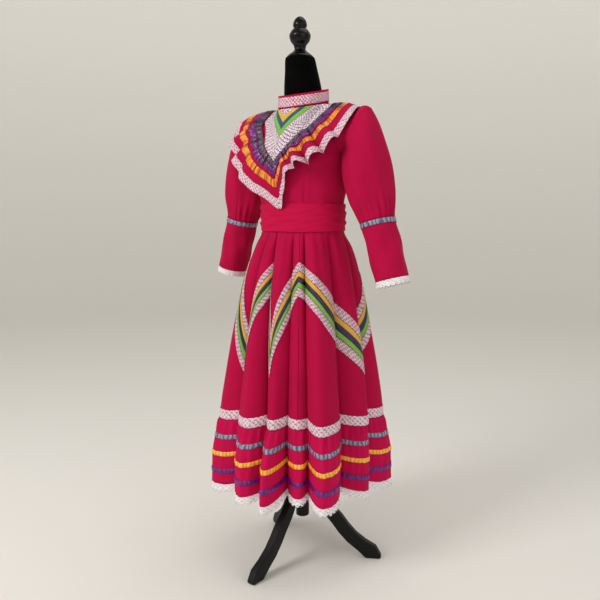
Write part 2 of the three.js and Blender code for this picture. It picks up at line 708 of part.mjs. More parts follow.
for (const strip of BERTHA_STRIPS) {
  const geometry = bertha.strip(berthaPlace(strip.from), berthaPlace(strip.to), TRIM_LIFT, TRIM);
  addMesh(strip.name, geometry, strip.colour, 0.35);
}
const berthaLace = new Panel(berthaGrid([BERTHA_LACE_FROM + 0.006, 1]), true);
addMesh('bertha_edge_lace', berthaLace.wall(TRIM), WHITE_LACE);

// ---- sleeves ----------------------------------------------------------------
function sleeveRing(ring, sign, lift = 0) {
  const tilt = THREE.MathUtils.degToRad(ring.tilt);
  const points = [];
  for (let j = 0; j < SLEEVE_COLUMNS; j += 1) {
    const turn = (2 * Math.PI * j) / SLEEVE_COLUMNS;
    const gather = (ring.gather ?? 0) * (j % 2 === 0 ? 1 : -1) + lift;
    const out = (ring.out + gather) * Math.cos(turn);
    const x = ring.x + out * Math.cos(tilt);
    const y = ring.y - (ring.fore + gather) * Math.sin(turn);
    points.push(new THREE.Vector3(sign * x, y, ring.z + out * Math.sin(tilt)));
  }
  return sign > 0 ? points.reverse() : points;
}

// First ring of a sleeve: the edge of the armhole, moved off it.
const CAP_CLEAR = 2.2; // how much wider the sleeve's first ring is
const CAP_GAP = 1.7;
function armholeRing(sign) {
  const points = [];
  for (let j = 0; j < SLEEVE_COLUMNS; j += 1) {
    const turn = (2 * Math.PI * j) / SLEEVE_COLUMNS;
    const back = turn > Math.PI;
    const rise = (1 + Math.cos(turn)) / 2;
    const edge = upperPoint(1, rise, back, back ? ARMHOLE_BACK : ARMHOLE_FRONT);
    const grow = 1 + CAP_CLEAR / 60;
    const y = SHOULDER.y + (edge.y - SHOULDER.y) * grow;
    points.push(new THREE.Vector3(sign * (edge.x + CAP_GAP), y, edge.z + Math.cos(turn)));
  }
  return sign > 0 ? points.reverse() : points;
}

for (const [side, sign] of [['left', 1], ['right', -1]]) {
  const puff = new Panel([armholeRing(sign), ...PUFF.map((ring) => sleeveRing(ring, sign))], true);
  addMesh(`sleeve_puff_${side}`, puff.wall(CLOTH), MAGENTA);
  const lower = new Panel(LOWER.map((ring) => sleeveRing(ring, sign)), true);
  addMesh(`sleeve_lower_${side}`, lower.wall(CLOTH), MAGENTA);
  const share = SLEEVE_RIBBON / 84;
  const ribbon = lower.strip(0.02, 0.02 + share, TRIM_LIFT, TRIM);
  addMesh(`sleeve_ribbon_${side}`, ribbon, 0x6e8296, 0.35);
  const cuff = LOWER[LOWER.length - 1];
  const fall = (depth) => ({ ...cuff, x: cuff.x + depth * 0.3, z: cuff.z - depth });
  const lace = new Panel([SEAM_GAP, CUFF_LACE].map((d) => sleeveRing(fall(d), sign)), true);
  addMesh(`cuff_lace_${side}`, lace.wall(TRIM), WHITE_LACE);
}

// ---- sash and its bow ---------------------------------------------------------
const SASH_COLUMNS = 24;
function sashRow(z, grow) {
  const row = [];
  for (let j = 0; j < SASH_COLUMNS; j += 1) {
    const angle = (2 * Math.PI * j) / SASH_COLUMNS;
    row.push(polar(ellipseRadius(WAIST_A + grow, WAIST_B + grow, angle), angle, z));
  }
  return row;
}
const SASH_WALL = 2;
const SASH_MID = (SASH.top + SASH.bottom) / 2;
const sash = new Panel([
  sashRow(SASH.top, SASH.clear), sashRow(SASH_MID, SASH.clear),
  sashRow(SASH.bottom, SASH.clear)], true);
addMesh('waist_sash', sash.wall(SASH_WALL), MAGENTA);

// Sections of the bow along their middle line: place, half height and half depth.
function lofted(sections, columns = 8) {
  const points = [];
  for (const s of sections) {
    for (let j = 0; j < columns; j += 1) {
      const turn = (2 * Math.PI * j) / columns;
      const across = new THREE.Vector3(...s.across).multiplyScalar(Math.cos(turn) * s.wide);
      const deep = new THREE.Vector3(...s.deep).multiplyScalar(Math.sin(turn) * s.thick);
      points.push(new THREE.Vector3(s.x, s.y, s.z).add(across).add(deep));
    }
  }
  const faces = [];
  for (let i = 0; i + 1 < sections.length; i += 1) {
    for (let j = 0; j < columns; j += 1) {
      const k = (j + 1) % columns;
      const a = i * columns + j;
      const b = a + columns;
      faces.push([a, i * columns + k, b], [i * columns + k, b - j + k, b]);
    }
  }
  const base = (sections.length - 1) * columns;
  for (let j = 1; j + 1 < columns; j += 1) {
    faces.push([0, j + 1, j], [base, base + j, base + j + 1]);
  }
  return geometryOf(points, faces);
}
const UP = [0, 0, 1];
const BACKWARD = [0, 1, 0];
const KNOT = { y: 122.4, z: 1090 };
const knotSections = [-17, -9, 9, 17].map((x, i) => ({
  x, y: KNOT.y, z: KNOT.z, wide: i % 3 === 0 ? 13 : 20, thick: i % 3 === 0 ? 6 : 10,
  across: UP, deep: [0, -1, 0],
}));
addMesh('sash_knot', lofted(knotSections), MAGENTA);
const LOOP = [
  { x: 17.3, y: 123, wide: 9, thick: 4 },
  { x: 34, y: 128, wide: 22, thick: 11 },
  { x: 52, y: 127, wide: 27, thick: 13 },
  { x: 66, y: 121, wide: 20, thick: 8 },
];
for (const [side, sign] of [['left', 1], ['right', -1]]) {
  const sections = LOOP.map((s) => ({
    ...s, x: s.x * sign, z: KNOT.z - s.x * 0.16, across: UP, deep: [0, -sign, 0],
  }));
  addMesh(`sash_loop_${side}`, lofted(sections), MAGENTA);
}
const TAIL = [
  { x: 6, y: 123.4, z: 1069.6, wide: 8 },
  { x: 16, y: 141, z: 990, wide: 20 },
  { x: 26, y: 182, z: 850, wide: 26 },
  { x: 34, y: 211, z: 700, wide: 30 },
];
for (const [side, sign] of [['left', 1], ['right', -1]]) {
  const grid = TAIL.map((s) => [-1, 0, 1].map((k) => (
    new THREE.Vector3(sign * s.x - k * s.wide * 0.5 + (sign * s.wide) / 2, s.y + (k === 0 ? 2 : 0), s.z))));
  addMesh(`sash_tail_${side}`, new Panel(grid, false).wall(SASH_WALL), MAGENTA);
}

// ---- dress form and stand ---------------------------------------------------
// A closed body from rings of front and back points; its ends are ladders
// between the front and the back half.
function ringBody(rings) {
  const count = rings[0].length;
  const half = count / 2;
  const points = rings.flat();
  const faces = [];
  for (let i = 0; i + 1 < rings.length; i += 1) {
    for (let j = 0; j < count; j += 1) {
      const k = (j + 1) % count;
      const a = i * count + j;
      const d = i * count + k;
      faces.push([a, a + count, d], [a + count, d + count, d]);
    }
  }
  const base = (rings.length - 1) * count;
  for (let j = 0; j + 1 < half; j += 1) {
    const back = count - 1 - j;
    faces.push([j, j + 1, back], [j + 1, back - 1, back]);
    faces.push([base + j, base + back, base + j + 1], [base + j + 1, base + back, base + back - 1]);
  }
  return geometryOf(points, faces);
}

// Ring positions: front from the wearer's right to the left, then the back.
const FORM_STEPS = 6;
function formRing(pointAt) {
  const ring = [];
  for (const back of [false, true]) {
    for (let k = -FORM_STEPS; k <= FORM_STEPS; k += 1) {
      const place = (Math.abs(k) / FORM_STEPS) * 0.94;
      const sign = Math.sign(k) * (back ? -1 : 1);
      ring.push(mirrored(pointAt(place, back), sign));
    }
  }
  return ring;
}

const FORM_TOP_RISE = 0.9;
const FORM_DROP = 2.6; // how far the form's shoulders lie below the cloth's outer face
function insetRing(level, inset) {
  return formRing((place, back) => {
    const smaller = { ...level, a: level.a - inset, front: level.front - inset, back: level.back - inset };
    return torsoLevel(smaller, place * QUARTER, back);
  });
}

// Above the underarm the form keeps the same lines, drawn in towards its middle.
function shoulderRing(rise, inset) {
  return formRing((place, back) => {
    const p = upperPoint(place, rise, back, 0.2);
    const side = back ? -1 : 1;
    p.y += side * inset;
    p.z -= FORM_DROP;
    p.x -= inset * place;
    return p;
  });
}
const formRings = [
  shoulderRing(FORM_TOP_RISE, 5.5),
  shoulderRing(0.6, 10),
  shoulderRing(0.3, 16),
  ...TORSO.slice(0, -1).map((level) => insetRing(level, 9)),
  ...FORM_LOW.map((row) => insetRing({ z: row.z, side: row.z, a: row.a, front: row.b, back: row.b }, 0)),
];
addMesh('form_torso', ringBody(formRings), BLACK, 0.7);

// Neck: stacked ellipses that lean a little forward.
const NECK_RINGS = [
  { z: 1558, r: 43, y: -12 },
  { z: 1550, r: 45, y: -11 },
  { z: 1520, r: 49, y: -6 },
  { z: 1470, r: 56, y: 1 },
  { z: 1435, r: 58, y: 4 },
  { z: 1406, r: 58, y: 4, slope: 0.2 },
];
const NECK_COLUMNS = 20;
function stackedBody(rows, columns) {
  const rings = rows.map((row) => {
    const ring = [];
    for (let j = 0; j < columns; j += 1) {
      const p = polar(row.r, (2 * Math.PI * j) / columns, row.z);
      ring.push(p.add(new THREE.Vector3(0, row.y ?? 0, (row.slope ?? 0) * p.y)));
    }
    return ring;
  });
  const points = rings.flat();
  const faces = [];
  for (let i = 0; i + 1 < rows.length; i += 1) {
    for (let j = 0; j < columns; j += 1) {
      const k = (j + 1) % columns;
      const a = i * columns + j;
      const d = i * columns + k;
      faces.push([a, a + columns, d], [a + columns, d + columns, d]);
    }
  }
  const base = (rows.length - 1) * columns;
  for (let j = 1; j + 1 < columns; j += 1) {
    faces.push([0, j, j + 1], [base, base + j + 1, base + j]);
  }
  return geometryOf(points, faces);
}
addMesh('form_neck', stackedBody(NECK_RINGS, NECK_COLUMNS), BLACK, 0.7);

const FINIAL = [
  { z: 1675, r: 3 }, { z: 1672, r: 10 }, { z: 1664, r: 17 }, { z: 1650, r: 21 },
  { z: 1641, r: 18.5 }, { z: 1636, r: 24 }, { z: 1620, r: 32 }, { z: 1606, r: 29 },
  { z: 1592, r: 19 }, { z: 1582, r: 17 }, { z: 1573, r: 24 }, { z: 1568, r: 31 },
  { z: 1562, r: 38 }, { z: 1558.3, r: 40 },
].map((row) => ({ ...row, y: -12 }));
addMesh('neck_finial', stackedBody(FINIAL, 16), WOOD, 0.2);

const POST = [
  { z: 883.7, r: 30 }, { z: 872, r: 30 }, { z: 868, r: POST_RADIUS },
  { z: 330, r: POST_RADIUS }, { z: 326, r: 21 }, { z: 134, r: 21 }, { z: 131, r: 18 },
];
addMesh('stand_post', stackedBody(POST, 16), WOOD, 0.3);

// A leg: a board that curves from the hub down to its foot.
const LEG = { thick: 26, deep: 42 };
const LEG_CURVE = [
  [21.4, 300], [30, 270], [44, 225], [62, 188], [84, 156], [112, 125],
  [134, 95], [160, 66], [192, 41], [228, 20],
];
function legShape() {
  const line = LEG_CURVE.map(([r, z]) => new THREE.Vector2(r, z));
  const upper = [];
  const lower = [];
  line.forEach((p, i) => {
    const before = line[Math.max(0, i - 1)];
    const after = line[Math.min(line.length - 1, i + 1)];
    const along = after.clone().sub(before).normalize();
    const side = new THREE.Vector2(-along.y, along.x);
    const reach = Math.min(LEG.deep / 2, 12 + 1.8 * i);
    upper.push(p.clone().addScaledVector(side, reach));
    lower.push(p.clone().addScaledVector(side, -reach));
  });
  upper[0].x = 21.4;
  lower[0].x = 21.4;
  upper[0].y = 330;
  lower[0].y = 262;
  const outline = [...upper, new THREE.Vector2(FOOT_REACH, 22), new THREE.Vector2(FOOT_REACH + 8, 8)];
  outline.push(new THREE.Vector2(FOOT_REACH + 4, 0), new THREE.Vector2(206, 0));
  outline.push(...lower.slice(0, -1).reverse().filter((p) => p.x > 21.3 && p.y > 2 && p.x < 200));
  return new THREE.Shape(outline);
}
LEG_ANGLES.forEach((degrees, index) => {
  const geometry = new THREE.ExtrudeGeometry(legShape(), { depth: LEG.thick, bevelEnabled: false, steps: 1 });
  geometry.translate(0, 0, -LEG.thick / 2);
  geometry.rotateX(QUARTER);
  const material = new THREE.MeshStandardMaterial({ color: WOOD, roughness: 0.4, metalness: 0 });
  const mesh = new THREE.Mesh(geometry, material);
  mesh.name = `stand_leg_${index + 1}`;
  mesh.rotation.z = THREE.MathUtils.degToRad(degrees - 90);
  group.add(mesh);
});

export default group;
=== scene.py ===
"""A Jalisco folk dress on a limbless dress form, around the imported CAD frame.

Shapes are worked out in millimetres on the same folds, levels and stations as
the CAD solids, and become metres when a mesh is made. +Z is up, the dress
faces -Y and the wearer's left is +X.
"""
import math

import bpy
import numpy as np
from numpy import array, concatenate, cos, linspace, maximum, minimum, pi, radians, sin, stack
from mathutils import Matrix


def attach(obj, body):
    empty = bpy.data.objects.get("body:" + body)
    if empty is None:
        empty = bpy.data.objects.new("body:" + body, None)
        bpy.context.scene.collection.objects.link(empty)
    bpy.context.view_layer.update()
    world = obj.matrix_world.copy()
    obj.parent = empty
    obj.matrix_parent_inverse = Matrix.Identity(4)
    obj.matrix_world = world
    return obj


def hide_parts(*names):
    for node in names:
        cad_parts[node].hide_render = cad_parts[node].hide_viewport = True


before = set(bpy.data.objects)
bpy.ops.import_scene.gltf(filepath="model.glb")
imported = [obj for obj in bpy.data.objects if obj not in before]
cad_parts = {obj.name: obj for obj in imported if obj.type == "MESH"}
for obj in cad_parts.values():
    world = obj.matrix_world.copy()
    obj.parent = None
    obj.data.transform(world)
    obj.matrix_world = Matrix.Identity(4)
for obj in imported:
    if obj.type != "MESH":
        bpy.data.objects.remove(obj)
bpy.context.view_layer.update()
MM = 0.001
TAU = 2 * math.pi

# ---- measures shared with the CAD solids ----
WAIST_Z, SEAM_Z, HEM_Z = 1088, 467, 260
WAIST_A, WAIST_B = 136, 106
CLOTH, RIBBON, LACE = 1.1, 0.8, 0.8  # thickness of each cloth
LIFT = 1.0  # how far a trim lies off the cloth below it

# Folds round the skirt: angle at the waist and at the hem in degrees, radius
# at the flounce seam and at the hem, place along the six gores.
FOLDS = array([
    (-38, -43, 262, 288, -0.95), (-24, -29, 205, 208, -0.5), (-16, -10, 228, 250, -0.14),
    (-7, 3, 168, 170, 0.0), (8, 13, 205, 262, 0.66), (26, 23, 152, 152, 0.9),
    (36, 36, 186, 205, 1.0), (42, 45, 168, 168, 1.03), (52, 54, 242, 256, 1.09),
    (74, 80, 165, 157, 1.28), (96, 98, 228, 233, 1.47), (105, 111, 188, 190, 1.62),
    (118, 131, 256, 286, 1.86), (132, 144, 200, 192, 2.0), (146, 156, 235, 258, 2.2),
    (162, 169, 178, 175, 2.4), (178, 182, 238, 262, 2.62), (194, 196, 190, 184, 2.82),
    (208, 209, 225, 250, 3.02), (222, 222, 170, 166, 3.22), (236, 235, 250, 278, 3.42),
    (250, 249, 195, 190, 3.62), (264, 262, 232, 252, 3.82), (278, 276, 172, 162, 4.05),
    (292, 289, 250, 276, 4.4), (307, 303, 196, 198, 4.72)], float)
FOLD_COUNT = len(FOLDS)
GORES = 6

# Height and how far the skirt has spread there from the waist to the seam.
SPREAD = array([
    (1088, 0), (1048, 0.008), (1000, 0.19), (944, 0.34), (888, 0.46), (832, 0.555),
    (718, 0.72), (603, 0.865), (505, 0.975), (467, 1)], float)
# Chevron band: height of its peaks, how far it drops to its valleys, how tall it
# is at both, and the share of an arm over which that changes.
PEAK_Z, PEAK_DROP, PEAK_HEIGHT, VALLEY_HEIGHT, EASE_TO = 962, 207, 100, 138, 0.4
SEAM_LACE, HEM_LACE = 30, 25

# Torso levels: height at the middle and at the side, half width, depth to the
# front and to the back.
TORSO = array([
    (1272, 1262, 168, 122, 114), (1245, 1240, 163, 126, 112), (1180, 1180, 150, 120, 104),
    (1130, 1130, 138, 109, 102), (1088.4, 1088.4, 136, 106, 106)], float)
NECK_A, NECK_B, NECK_Y, NECK_FRONT, NECK_BACK, NECK_SHARE = 76, 74, 4, 1405, 1437, 0.42
SHOULDER_X, SHOULDER_Y, SHOULDER_Z = 200, 4, 1393
ARMHOLE_FRONT, ARMHOLE_BACK = 0.72, 0.55


# ---- number helpers ----
def mix(a, b, t):
    return a + (b - a) * t


def smooth(edge0, edge1, x):
    t = np.clip((x - edge0) / (edge1 - edge0), 0, 1)
    return t * t * (3 - 2 * t)


def eased(knots, values, x):
    """Monotone cubic through the knots, which may rise or fall."""
    knots, values = np.asarray(knots, float), np.asarray(values, float)
    if knots[0] > knots[-1]:
        knots, values = knots[::-1], values[::-1]
    step = np.diff(knots)
    slope = np.diff(values) / step
    tangent = np.zeros(len(knots))
    tangent[0], tangent[-1] = slope[0], slope[-1]
    same = slope[:-1] * slope[1:] > 0
    tangent[1:-1][same] = 2 / (1 / slope[:-1][same] + 1 / slope[1:][same])
    x = np.clip(x, knots[0], knots[-1])
    i = np.clip(np.searchsorted(knots, x, side="right") - 1, 0, len(step) - 1)
    h = step[i]
    t = (x - knots[i]) / h
    return (
        (2 * t**3 - 3 * t**2 + 1) * values[i] + (t**3 - 2 * t**2 + t) * h * tangent[i]
        + (3 * t**2 - 2 * t**3) * values[i + 1] + (t**3 - t**2) * h * tangent[i + 1])


def ring_spline(values, u):
    """Smooth closed curve through the rows of values at u = 0, 1, 2 and so on."""
    n = len(values)
    i = np.floor(u).astype(int)
    t = (u - i)[:, None]
    p0, p1, p2, p3 = (values[(i + k) % n] for k in (-1, 0, 1, 2))
    return 0.5 * (
        2 * p1 + (p2 - p0) * t + (2 * p0 - 5 * p1 + 4 * p2 - p3) * t**2
        + (3 * p1 - p0 - 3 * p2 + p3) * t**3)


def wobble(x, seed, waves=5):
    """Smooth irregular wave of about unit size along x."""
    rng = np.random.default_rng(seed)
    total = np.zeros_like(np.asarray(x, float))
    for _ in range(waves):
        total = total + sin(rng.uniform(0.6, 2.2) * x + rng.uniform(0, TAU))
    return total / math.sqrt(waves)


def turns(count):
    """Angles of even columns all the way round."""
    return np.arange(count) / count * TAU


def polar(radius, angle, z):
    return stack([radius * sin(angle), -radius * cos(angle), z + 0 * radius], -1)


def ellipse_radius(a, b, angle):
    return 1 / np.hypot(sin(angle) / a, cos(angle) / b)


def outward(points, wrap):
    """Unit normals of a grid whose rows run down and whose columns run from
    the wearer's right to the left across the front."""
    if wrap:
        along = np.roll(points, -1, 1) - np.roll(points, 1, 1)
    else:
        along = np.gradient(points, axis=1)
    normal = np.cross(np.gradient(points, axis=0), along)
    return normal / maximum(np.linalg.norm(normal, axis=2, keepdims=True), 1e-9)


def lifted(points, wrap, distance):
    return points + outward(points, wrap) * distance


def columns_of(table, at):
    """Each column of a table, eased between its rows at these places."""
    knots = np.arange(len(table))
    return [eased(knots, table[:, k], at) for k in range(table.shape[1])]


def put(name, data):
    """A new object in the scene."""
    thing = bpy.data.objects.new(name, data)
    bpy.context.scene.collection.objects.link(thing)
    return thing


# ---- meshes from grids ----
def build(name, vertices, quads, uv, flat_from, material):
    """A mesh object from arrays; the quads from flat_from on are shaded flat."""
    mesh = bpy.data.meshes.new(name)
    mesh.vertices.add(len(vertices))
    mesh.vertices.foreach_set("co", (vertices * MM).ravel())
    mesh.loops.add(quads.size)
    mesh.loops.foreach_set("vertex_index", quads.ravel().astype(np.int32))
    mesh.polygons.add(len(quads))
    mesh.polygons.foreach_set("loop_start", np.arange(0, quads.size, 4, dtype=np.int32))
    smooth_faces = np.ones(len(quads), bool)
    smooth_faces[flat_from:] = False
    mesh.polygons.foreach_set("use_smooth", smooth_faces)
    layer = mesh.uv_layers.new(name="cloth")
    layer.data.foreach_set("uv", (uv * MM).ravel())
    mesh.update(calc_edges=True)
    mesh.validate()
    mesh.materials.append(material)
    piece = put(name, mesh)
    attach(piece, "root")
    return piece


def grid_quads(rows, columns, wrap):
    """Quads of a grid, and the row and the column of each."""
    i, j = np.indices((rows - 1, columns if wrap else columns - 1)).reshape(2, -1)
    k = (j + 1) % columns
    a, b = i * columns + j, (i + 1) * columns + j
    c, d = (i + 1) * columns + k, i * columns + k
    return stack([a, b, c, d], -1), i, j


def run_lengths(points, axis, wrap):
    """Length along the cloth from the grid's first row or column."""
    if wrap:
        points = concatenate([points, points[:, :1]], 1)
    steps = np.linalg.norm(np.diff(points, axis=axis), axis=2)
    lead = np.zeros_like(np.take(steps, [0], axis))
    return concatenate([lead, np.cumsum(steps, axis)], axis)


def sheet_of(name, points, wrap, thickness, material, nodes):
    """A thin cloth from a grid of its outer points, which hides the CAD parts it stands for."""
    rows, columns = points.shape[:2]
    inner = points - outward(points, wrap) * thickness
    quads, i, j = grid_quads(rows, columns, wrap)
    shift = rows * columns
    run, fall = run_lengths(points, 1, wrap), run_lengths(points, 0, False)
    across, down = run.mean(0), fall.mean(1)
    uv = stack([
        stack([across[j], across[j], across[j + 1], across[j + 1]], -1),
        -stack([down[i], down[i + 1], down[i + 1], down[i]], -1)], -1)
    ring = np.arange(columns if wrap else columns - 1)
    ring_next = (ring + 1) % columns
    base = (rows - 1) * columns
    rims = [
        stack([ring, ring_next, ring_next + shift, ring + shift], -1),
        stack([ring_next, ring, ring + shift, ring_next + shift], -1) + base]
    if not wrap:
        side = np.arange(rows - 1) * columns
        far = side + columns - 1
        rims.append(stack([side + columns, side, side + shift, side + columns + shift], -1))
        rims.append(stack([far, far + columns, far + columns + shift, far + shift], -1))
    rim = concatenate(rims)
    all_quads = concatenate([quads, quads[:, ::-1] + shift, rim])
    rim_uv = np.zeros((len(rim), 4, 2))
    rim_uv[..., 1] = -down[-1] * 0.5
    all_uv = concatenate([uv, uv[:, ::-1], rim_uv])
    vertices = concatenate([points.reshape(-1, 3), inner.reshape(-1, 3)])
    piece = build(name, vertices, all_quads, all_uv, 2 * len(quads), material)
    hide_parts(*nodes)
    return piece


def solid_of(name, points, material, nodes):
    """A closed smooth body from rings of points, listed from the top down."""
    rows, columns = points.shape[:2]
    quads = grid_quads(rows, columns, True)[0]
    top, bottom = points[0].mean(0), points[-1].mean(0)
    vertices = concatenate([points.reshape(-1, 3), top[None], bottom[None]])
    ring = np.arange(0, columns, 2)
    base, hub = (rows - 1) * columns, rows * columns
    one, two = (ring + 1) % columns, (ring + 2) % columns
    all_quads = concatenate([
        quads, stack([ring, one, two, ring * 0 + hub], -1),
        stack([base + two, base + one, base + ring, ring * 0 + hub + 1], -1)])
    corners = vertices[all_quads]
    uv = stack([corners[..., 0] + corners[..., 1], corners[..., 2]], -1)
    piece = build(name, vertices, all_quads, uv, len(quads), material)
    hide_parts(*nodes)


# ---- materials ----
THREADS, RIBS, NET = 0.0011, 0.0013, 0.0034  # how far apart these are, in metres


def linear(red, green, blue):
    """sRGB from 0 to 255 as linear RGBA."""
    def channel(value):
        value /= 255
        return value / 12.92 if value <= 0.04045 else ((value + 0.055) / 1.055) ** 2.4
    return (channel(red), channel(green), channel(blue), 1)


class Nodes:
    """Short hand for one material's node tree."""

    def __init__(self, name, roughness):
        self.material = bpy.data.materials.new(name)
        self.material.use_nodes = True
        self.tree = self.material.node_tree
        self.shader = self.tree.nodes["Principled BSDF"]
        self.set("Roughness", roughness)

    def set(self, socket, value):
        self.shader.inputs[socket].default_value = value

    def add(self, kind, **values):
        node = self.tree.nodes.new(kind)
        for key, value in values.items():
            if key in node.inputs:
                node.inputs[key].default_value = value
            else:
                setattr(node, key, value)
        return node

    def link(self, source, target):
        self.tree.links.new(source, target)

    def math(self, operation, a, b=None):
        node = self.add("ShaderNodeMath", operation=operation)
        for index, value in enumerate((a, b)):
            if isinstance(value, (int, float)):
                node.inputs[index].default_value = value
            elif value is not None:
                self.link(value, node.inputs[index])
        return node.outputs[0]

    def times(self, a, b):
        return self.math("MULTIPLY", a, b)

    def plus(self, a, b):
        return self.math("ADD", a, b)

    def uv(self):
        node = self.add("ShaderNodeUVMap", uv_map="cloth")
        split = self.add("ShaderNodeSeparateXYZ")
        self.link(node.outputs[0], split.inputs[0])
        return node.outputs[0], split.outputs[0], split.outputs[1]

    def noise(self, scale, detail):
        node = self.add("ShaderNodeTexNoise", Scale=scale, Detail=detail)
        place = self.add("ShaderNodeTexCoord")
        self.link(place.outputs["Object"], node.inputs["Vector"])
        return node.outputs[0]

    def wave(self, coordinate, period):
        """0 to 1 and back along a coordinate in metres."""
        turn = self.times(coordinate, TAU / period)
        # The third input, which is added, is 0.5 by default.
        return self.math("MULTIPLY_ADD", self.math("SINE", turn), 0.5)

    def blend(self, factor, first, second):
        """The base colour, from one sRGB at 0 to another at 1."""
        node = self.add("ShaderNodeMix", data_type="RGBA")
        self.link(factor, node.inputs[0])
        node.inputs[6].default_value = linear(*first)
        node.inputs[7].default_value = linear(*second)
        self.link(node.outputs[2], self.shader.inputs["Base Color"])

    def bump(self, height, strength, distance):
        node = self.add("ShaderNodeBump", Strength=strength, Distance=distance)
        self.link(height, node.inputs["Height"])
        self.link(node.outputs[0], self.shader.inputs["Normal"])


def cotton(name, colour, dark):
    """Plain weave: fine threads, small creases and uneven dye."""
    n = Nodes(name, 0.85)
    n.set("Sheen Weight", 0.06)
    n.set("Sheen Roughness", 0.5)
    n.set("Sheen Tint", linear(235, 60, 110))
    n.set("Specular IOR Level", 0.12)
    _, u, v = n.uv()
    tone = n.noise(9, 5)
    n.blend(n.times(tone, 0.75), colour, dark)
    threads = n.plus(n.wave(u, THREADS), n.wave(v, THREADS))
    creases = n.noise(38, 6)
    n.bump(n.plus(n.times(threads, 0.12), creases), 0.35, 0.0012)
    return n.material


def satin(name, colour, dark, rough=0.34, shirr=0.0, pleats=False):
    """Satin ribbon with ribs across it. shirr is how far apart the small
    puckers are that catch the light; they also paint narrow slits of shade,
    the colour going towards dark. pleats darkens the hollows of the cloth's
    pleats as painted shade."""
    n = Nodes(name, rough)
    n.set("Specular IOR Level", 0.55)
    n.set("Anisotropic", 0.4)
    _, u, _ = n.uv()
    height = n.times(n.wave(u, RIBS), 0.12)
    if shirr:
        shifted = n.plus(u, n.times(n.noise(55, 2), shirr * 1.6))
        pucker = n.wave(shifted, shirr)
        # Painted shade: narrow dark slits across the ribbon at the pucker spacing.
        slit_shade = n.math("POWER", n.math("MAXIMUM", pucker, 0.001), 2.2)
        shade = n.times(slit_shade, 0.45 if pleats else 0.95)
        # Painted shade in the hollows of the pleats: the stored pleat depth darkens the colour
        # further.
        if pleats:
            depth = n.add("ShaderNodeAttribute", attribute_name="pleat").outputs["Fac"]
            shade = n.math("MINIMUM", n.plus(shade, depth), 1.0)
        n.blend(shade, colour, dark)
        height = n.plus(height, n.times(pucker, 1.6))
    else:
        uneven = n.noise(70, 3)
        n.blend(n.times(uneven, 0.7), colour, dark)
        height = n.plus(height, n.times(uneven, 0.35))
    n.bump(height, 0.5, 0.0009)
    return n.material


def lace(name, thread, ground, pitch, height, edge=None, tight=0.0):
    """Bobbin lace: rosettes on an irregular net. Over cloth the ground shows
    between the threads; a free lace, which has an edge, has holes and scallops.
    tight takes more thread away, so that more of the ground shows."""
    n = Nodes(name, 0.8)
    n.set("Specular IOR Level", 0.15)
    coordinate, u, v = n.uv()
    stretched = n.plus(u, n.times(n.noise(60, 2), pitch * 0.9))
    across = n.times(stretched, TAU / pitch)
    down = n.times(v, TAU / height)
    rosette = n.times(n.math("COSINE", across), n.math("COSINE", down))
    petals = n.times(n.math("SINE", n.times(across, 2)), n.math("SINE", n.times(down, 2)))
    cells = n.add("ShaderNodeTexVoronoi", feature="DISTANCE_TO_EDGE", Scale=1 / NET)
    n.link(coordinate, cells.inputs["Vector"])
    net = n.times(n.math("SUBTRACT", 0.16, cells.outputs["Distance"]), 4.2)
    solid = n.plus(n.plus(n.times(rosette, 0.75), n.times(petals, 0.45)), net)
    cover = n.add("ShaderNodeMapRange", **{"From Min": tight - 0.55, "From Max": tight + 0.15})
    n.link(solid, cover.inputs[0])
    n.blend(cover.outputs[0], ground, thread)
    n.bump(solid, 0.6, 0.0007)
    if edge:
        depth, scallop = edge
        low = n.add("ShaderNodeMapRange", **{"From Min": -1.1, "From Max": -0.6})
        n.link(solid, low.inputs[0])
        arch = n.math("ABSOLUTE", n.math("SINE", n.times(u, math.pi / pitch)))
        reach = n.plus(n.times(arch, scallop), depth - scallop)
        inside = n.math("GREATER_THAN", n.plus(v, reach), 0)
        n.link(n.times(low.outputs[0], inside), n.shader.inputs["Alpha"])
    return n.material


def black(name, rough, specular, patches, colours, grain, relief):
    """A near-black surface; patches and grain are noises of scale and detail."""
    n = Nodes(name, rough)
    n.set("Specular IOR Level", specular)
    n.blend(n.noise(*patches), *colours)
    n.bump(n.noise(*grain), *relief)
    return n.material


COTTON = "magenta_cotton"  # the slot of all the magenta cloth
MAGENTA = cotton(COTTON, (190, 10, 70), (160, 6, 54))
SASH_CLOTH = cotton("sash_cotton", (200, 14, 72), (178, 8, 58))
FLOUNCE_CLOTH = cotton("flounce_cotton", (208, 14, 84), (172, 8, 62))
YELLOW = satin("yellow_satin", (230, 182, 58), (200, 140, 34))
# In satins given a shirr, the second colour is painted shade: dark slits between the puckers and,
# with pleats, the hollows of the pleats. In the others it is an uneven tone.
SHINY_YELLOW = satin("shiny_yellow_satin", (255, 192, 56), (226, 142, 26), 0.24, 0.012)
ORANGE = satin("orange_satin", (255, 164, 44), (150, 34, 8), 0.2, 0.009, pleats=True)
NAVY = satin("navy_satin", (30, 34, 84), (18, 20, 56))
GREEN = satin("green_satin", (126, 190, 70), (90, 152, 46))
BLUE = satin("blue_satin", (12, 84, 116), (8, 56, 84))
GREY = satin("grey_satin", (142, 154, 180), (62, 66, 92), 0.24, 0.014)
PURPLE = satin("purple_satin", (112, 4, 138), (60, 0, 84), 0.38, 0.014)
PLUM = satin("pleated_purple_satin", (130, 24, 136), (16, 0, 22), 0.24, 0.008, pleats=True)
MAUVE = satin("mauve_satin", (96, 84, 108), (6, 3, 9), 0.24, 0.008, pleats=True)
PINK_LACE = lace("pink_lace", (236, 216, 226), (148, 36, 84), 0.0125, 0.0125, tight=0.15)
YOKE_LACE = lace("yoke_lace", (250, 240, 246), (120, 58, 100), 0.0115, 0.0125, tight=0.3)
